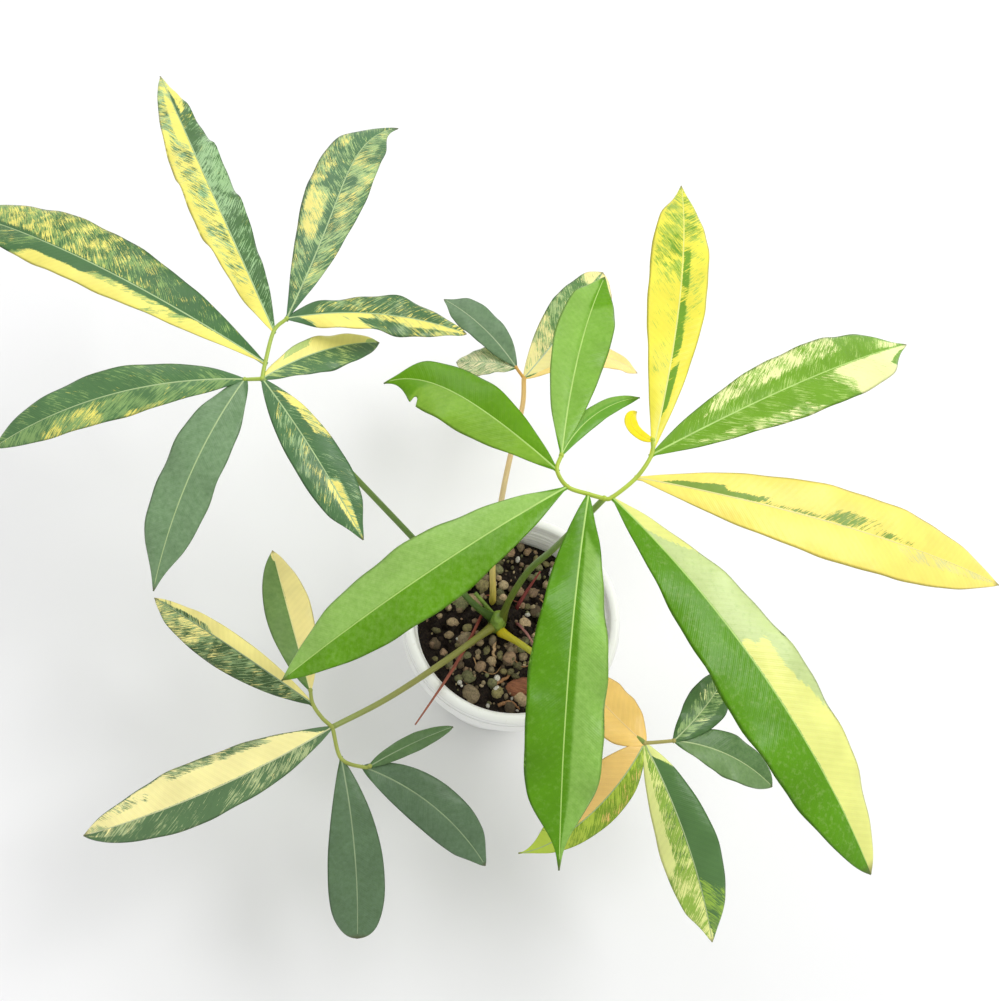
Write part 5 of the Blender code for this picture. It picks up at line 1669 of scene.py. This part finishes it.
class PHILODENDRON_OT_sheaths(bpy.types.Operator):
    """Build the dried sheaths"""

    bl_idname = "philodendron.sheaths"
    bl_label = "Sheaths"

    def execute(self, context):
        material = sheath_material()
        for sheath in SHEATHS:
            path = smooth_route(sheath.route, 12)
            share = np.linspace(0.0, 1.0, len(path))
            radii = sheath.foot_radius + (sheath.tip_radius - sheath.foot_radius) * share
            tones = np.array(linear(sheath.tone)) * (1 - share[:, None]) + np.array(linear(sheath.tip_tone)) * share[:, None]
            shells = [tube(path, radii * 0.98, 14, flat=0.7, twist=2.4, tone=tones)]
            piece_from(f"{sheath.name}_skin", shells, [material], [sheath.name])
        return {"FINISHED"}


class PHILODENDRON_OT_stage(bpy.types.Operator):
    """Set the plain floor, the soft light and the camera"""

    bl_idname = "philodendron.stage"
    bl_label = "Stage"

    def execute(self, context):
        settings = context.scene.philodendron_stage
        scene = context.scene
        half = settings.floor_size / 2
        mesh = bpy.data.meshes.new("floor")
        mesh.from_pydata([(-half, -half, 0), (half, -half, 0), (half, half, 0), (-half, half, 0)], [], [(0, 1, 2, 3)])
        floor = bpy.data.objects.new("floor", mesh)
        scene.collection.objects.link(floor)
        material, tree, shader = new_material("white_seamless_paper")
        shader.inputs["Base Color"].default_value = (*linear("#EEEEEF"), 1)
        shader.inputs["Roughness"].default_value = 0.9
        shader.inputs["Specular IOR Level"].default_value = 0.1
        mesh.materials.append(material)
        world = bpy.data.worlds.new("white_studio")
        world.use_nodes = True
        world.node_tree.nodes["Background"].inputs["Color"].default_value = (1.0, 1.0, 1.0, 1.0)
        world.node_tree.nodes["Background"].inputs["Strength"].default_value = settings.sky
        scene.world = world
        for name, place, size, power in (
            ("key", KEY_PLACE, KEY_SIZE, settings.key_power),
            ("sheen", SHEEN_PLACE, SHEEN_SIZE, settings.sheen_power),
        ):
            light = bpy.data.lights.new(name, "AREA")
            light.shape = "DISK"
            light.size = size
            light.energy = power
            lamp = bpy.data.objects.new(name, light)
            lamp.location = place
            lamp.rotation_euler = lamp.location.to_track_quat("Z", "Y").to_euler()
            scene.collection.objects.link(lamp)
        lens = bpy.data.cameras.new("view")
        lens.lens = CAMERA_LENS
        lens.sensor_width = CAMERA_SENSOR
        lens.sensor_fit = "HORIZONTAL"
        lens.clip_start = 0.01
        camera = bpy.data.objects.new("view", lens)
        scene.collection.objects.link(camera)
        camera.matrix_world = (
            Matrix.Translation(CAMERA_PLACE)
            @ Matrix.Rotation(math.radians(CAMERA_TILT), 4, "X")
            @ Matrix.Rotation(math.radians(CAMERA_TURN), 4, "Z")
        )
        scene.camera = camera
        scene.view_settings.view_transform = "Standard"
        return {"FINISHED"}


class PHILODENDRON_PT_panel(bpy.types.Panel):
    """Buttons and settings in the sidebar"""

    bl_idname = "PHILODENDRON_PT_panel"
    bl_label = "Philodendron"
    bl_space_type = "VIEW_3D"
    bl_region_type = "UI"
    bl_category = "Philodendron"

    def draw(self, context):
        for operator in OPERATORS:
            self.layout.operator(operator.bl_idname)
        for name, group in SETTINGS.items():
            box = self.layout.box()
            for field in group.__annotations__:
                box.prop(getattr(context.scene, name), field)


SETTINGS = {
    "philodendron_pot": PotSettings,
    "philodendron_mix": MixSettings,
    "philodendron_leaves": LeafSettings,
    "philodendron_stage": StageSettings,
}
OPERATORS = (
    PHILODENDRON_OT_stage,
    PHILODENDRON_OT_pot,
    PHILODENDRON_OT_mix,
    PHILODENDRON_OT_crown,
    PHILODENDRON_OT_fronds,
    PHILODENDRON_OT_sheaths,
)


def register():
    for group in (*SETTINGS.values(), *OPERATORS, PHILODENDRON_PT_panel):
        bpy.utils.register_class(group)
    for name, group in SETTINGS.items():
        setattr(bpy.types.Scene, name, bpy.props.PointerProperty(type=group))


def unregister():
    for name in SETTINGS:
        delattr(bpy.types.Scene, name)
    for group in (PHILODENDRON_PT_panel, *OPERATORS, *SETTINGS.values()):
        bpy.utils.unregister_class(group)


def main():
    register()
    bpy.ops.philodendron.stage()
    bpy.ops.philodendron.pot()
    bpy.ops.philodendron.mix()
    bpy.ops.philodendron.crown()
    bpy.ops.philodendron.fronds()
    bpy.ops.philodendron.sheaths()


if __name__ == "__main__":
    main()
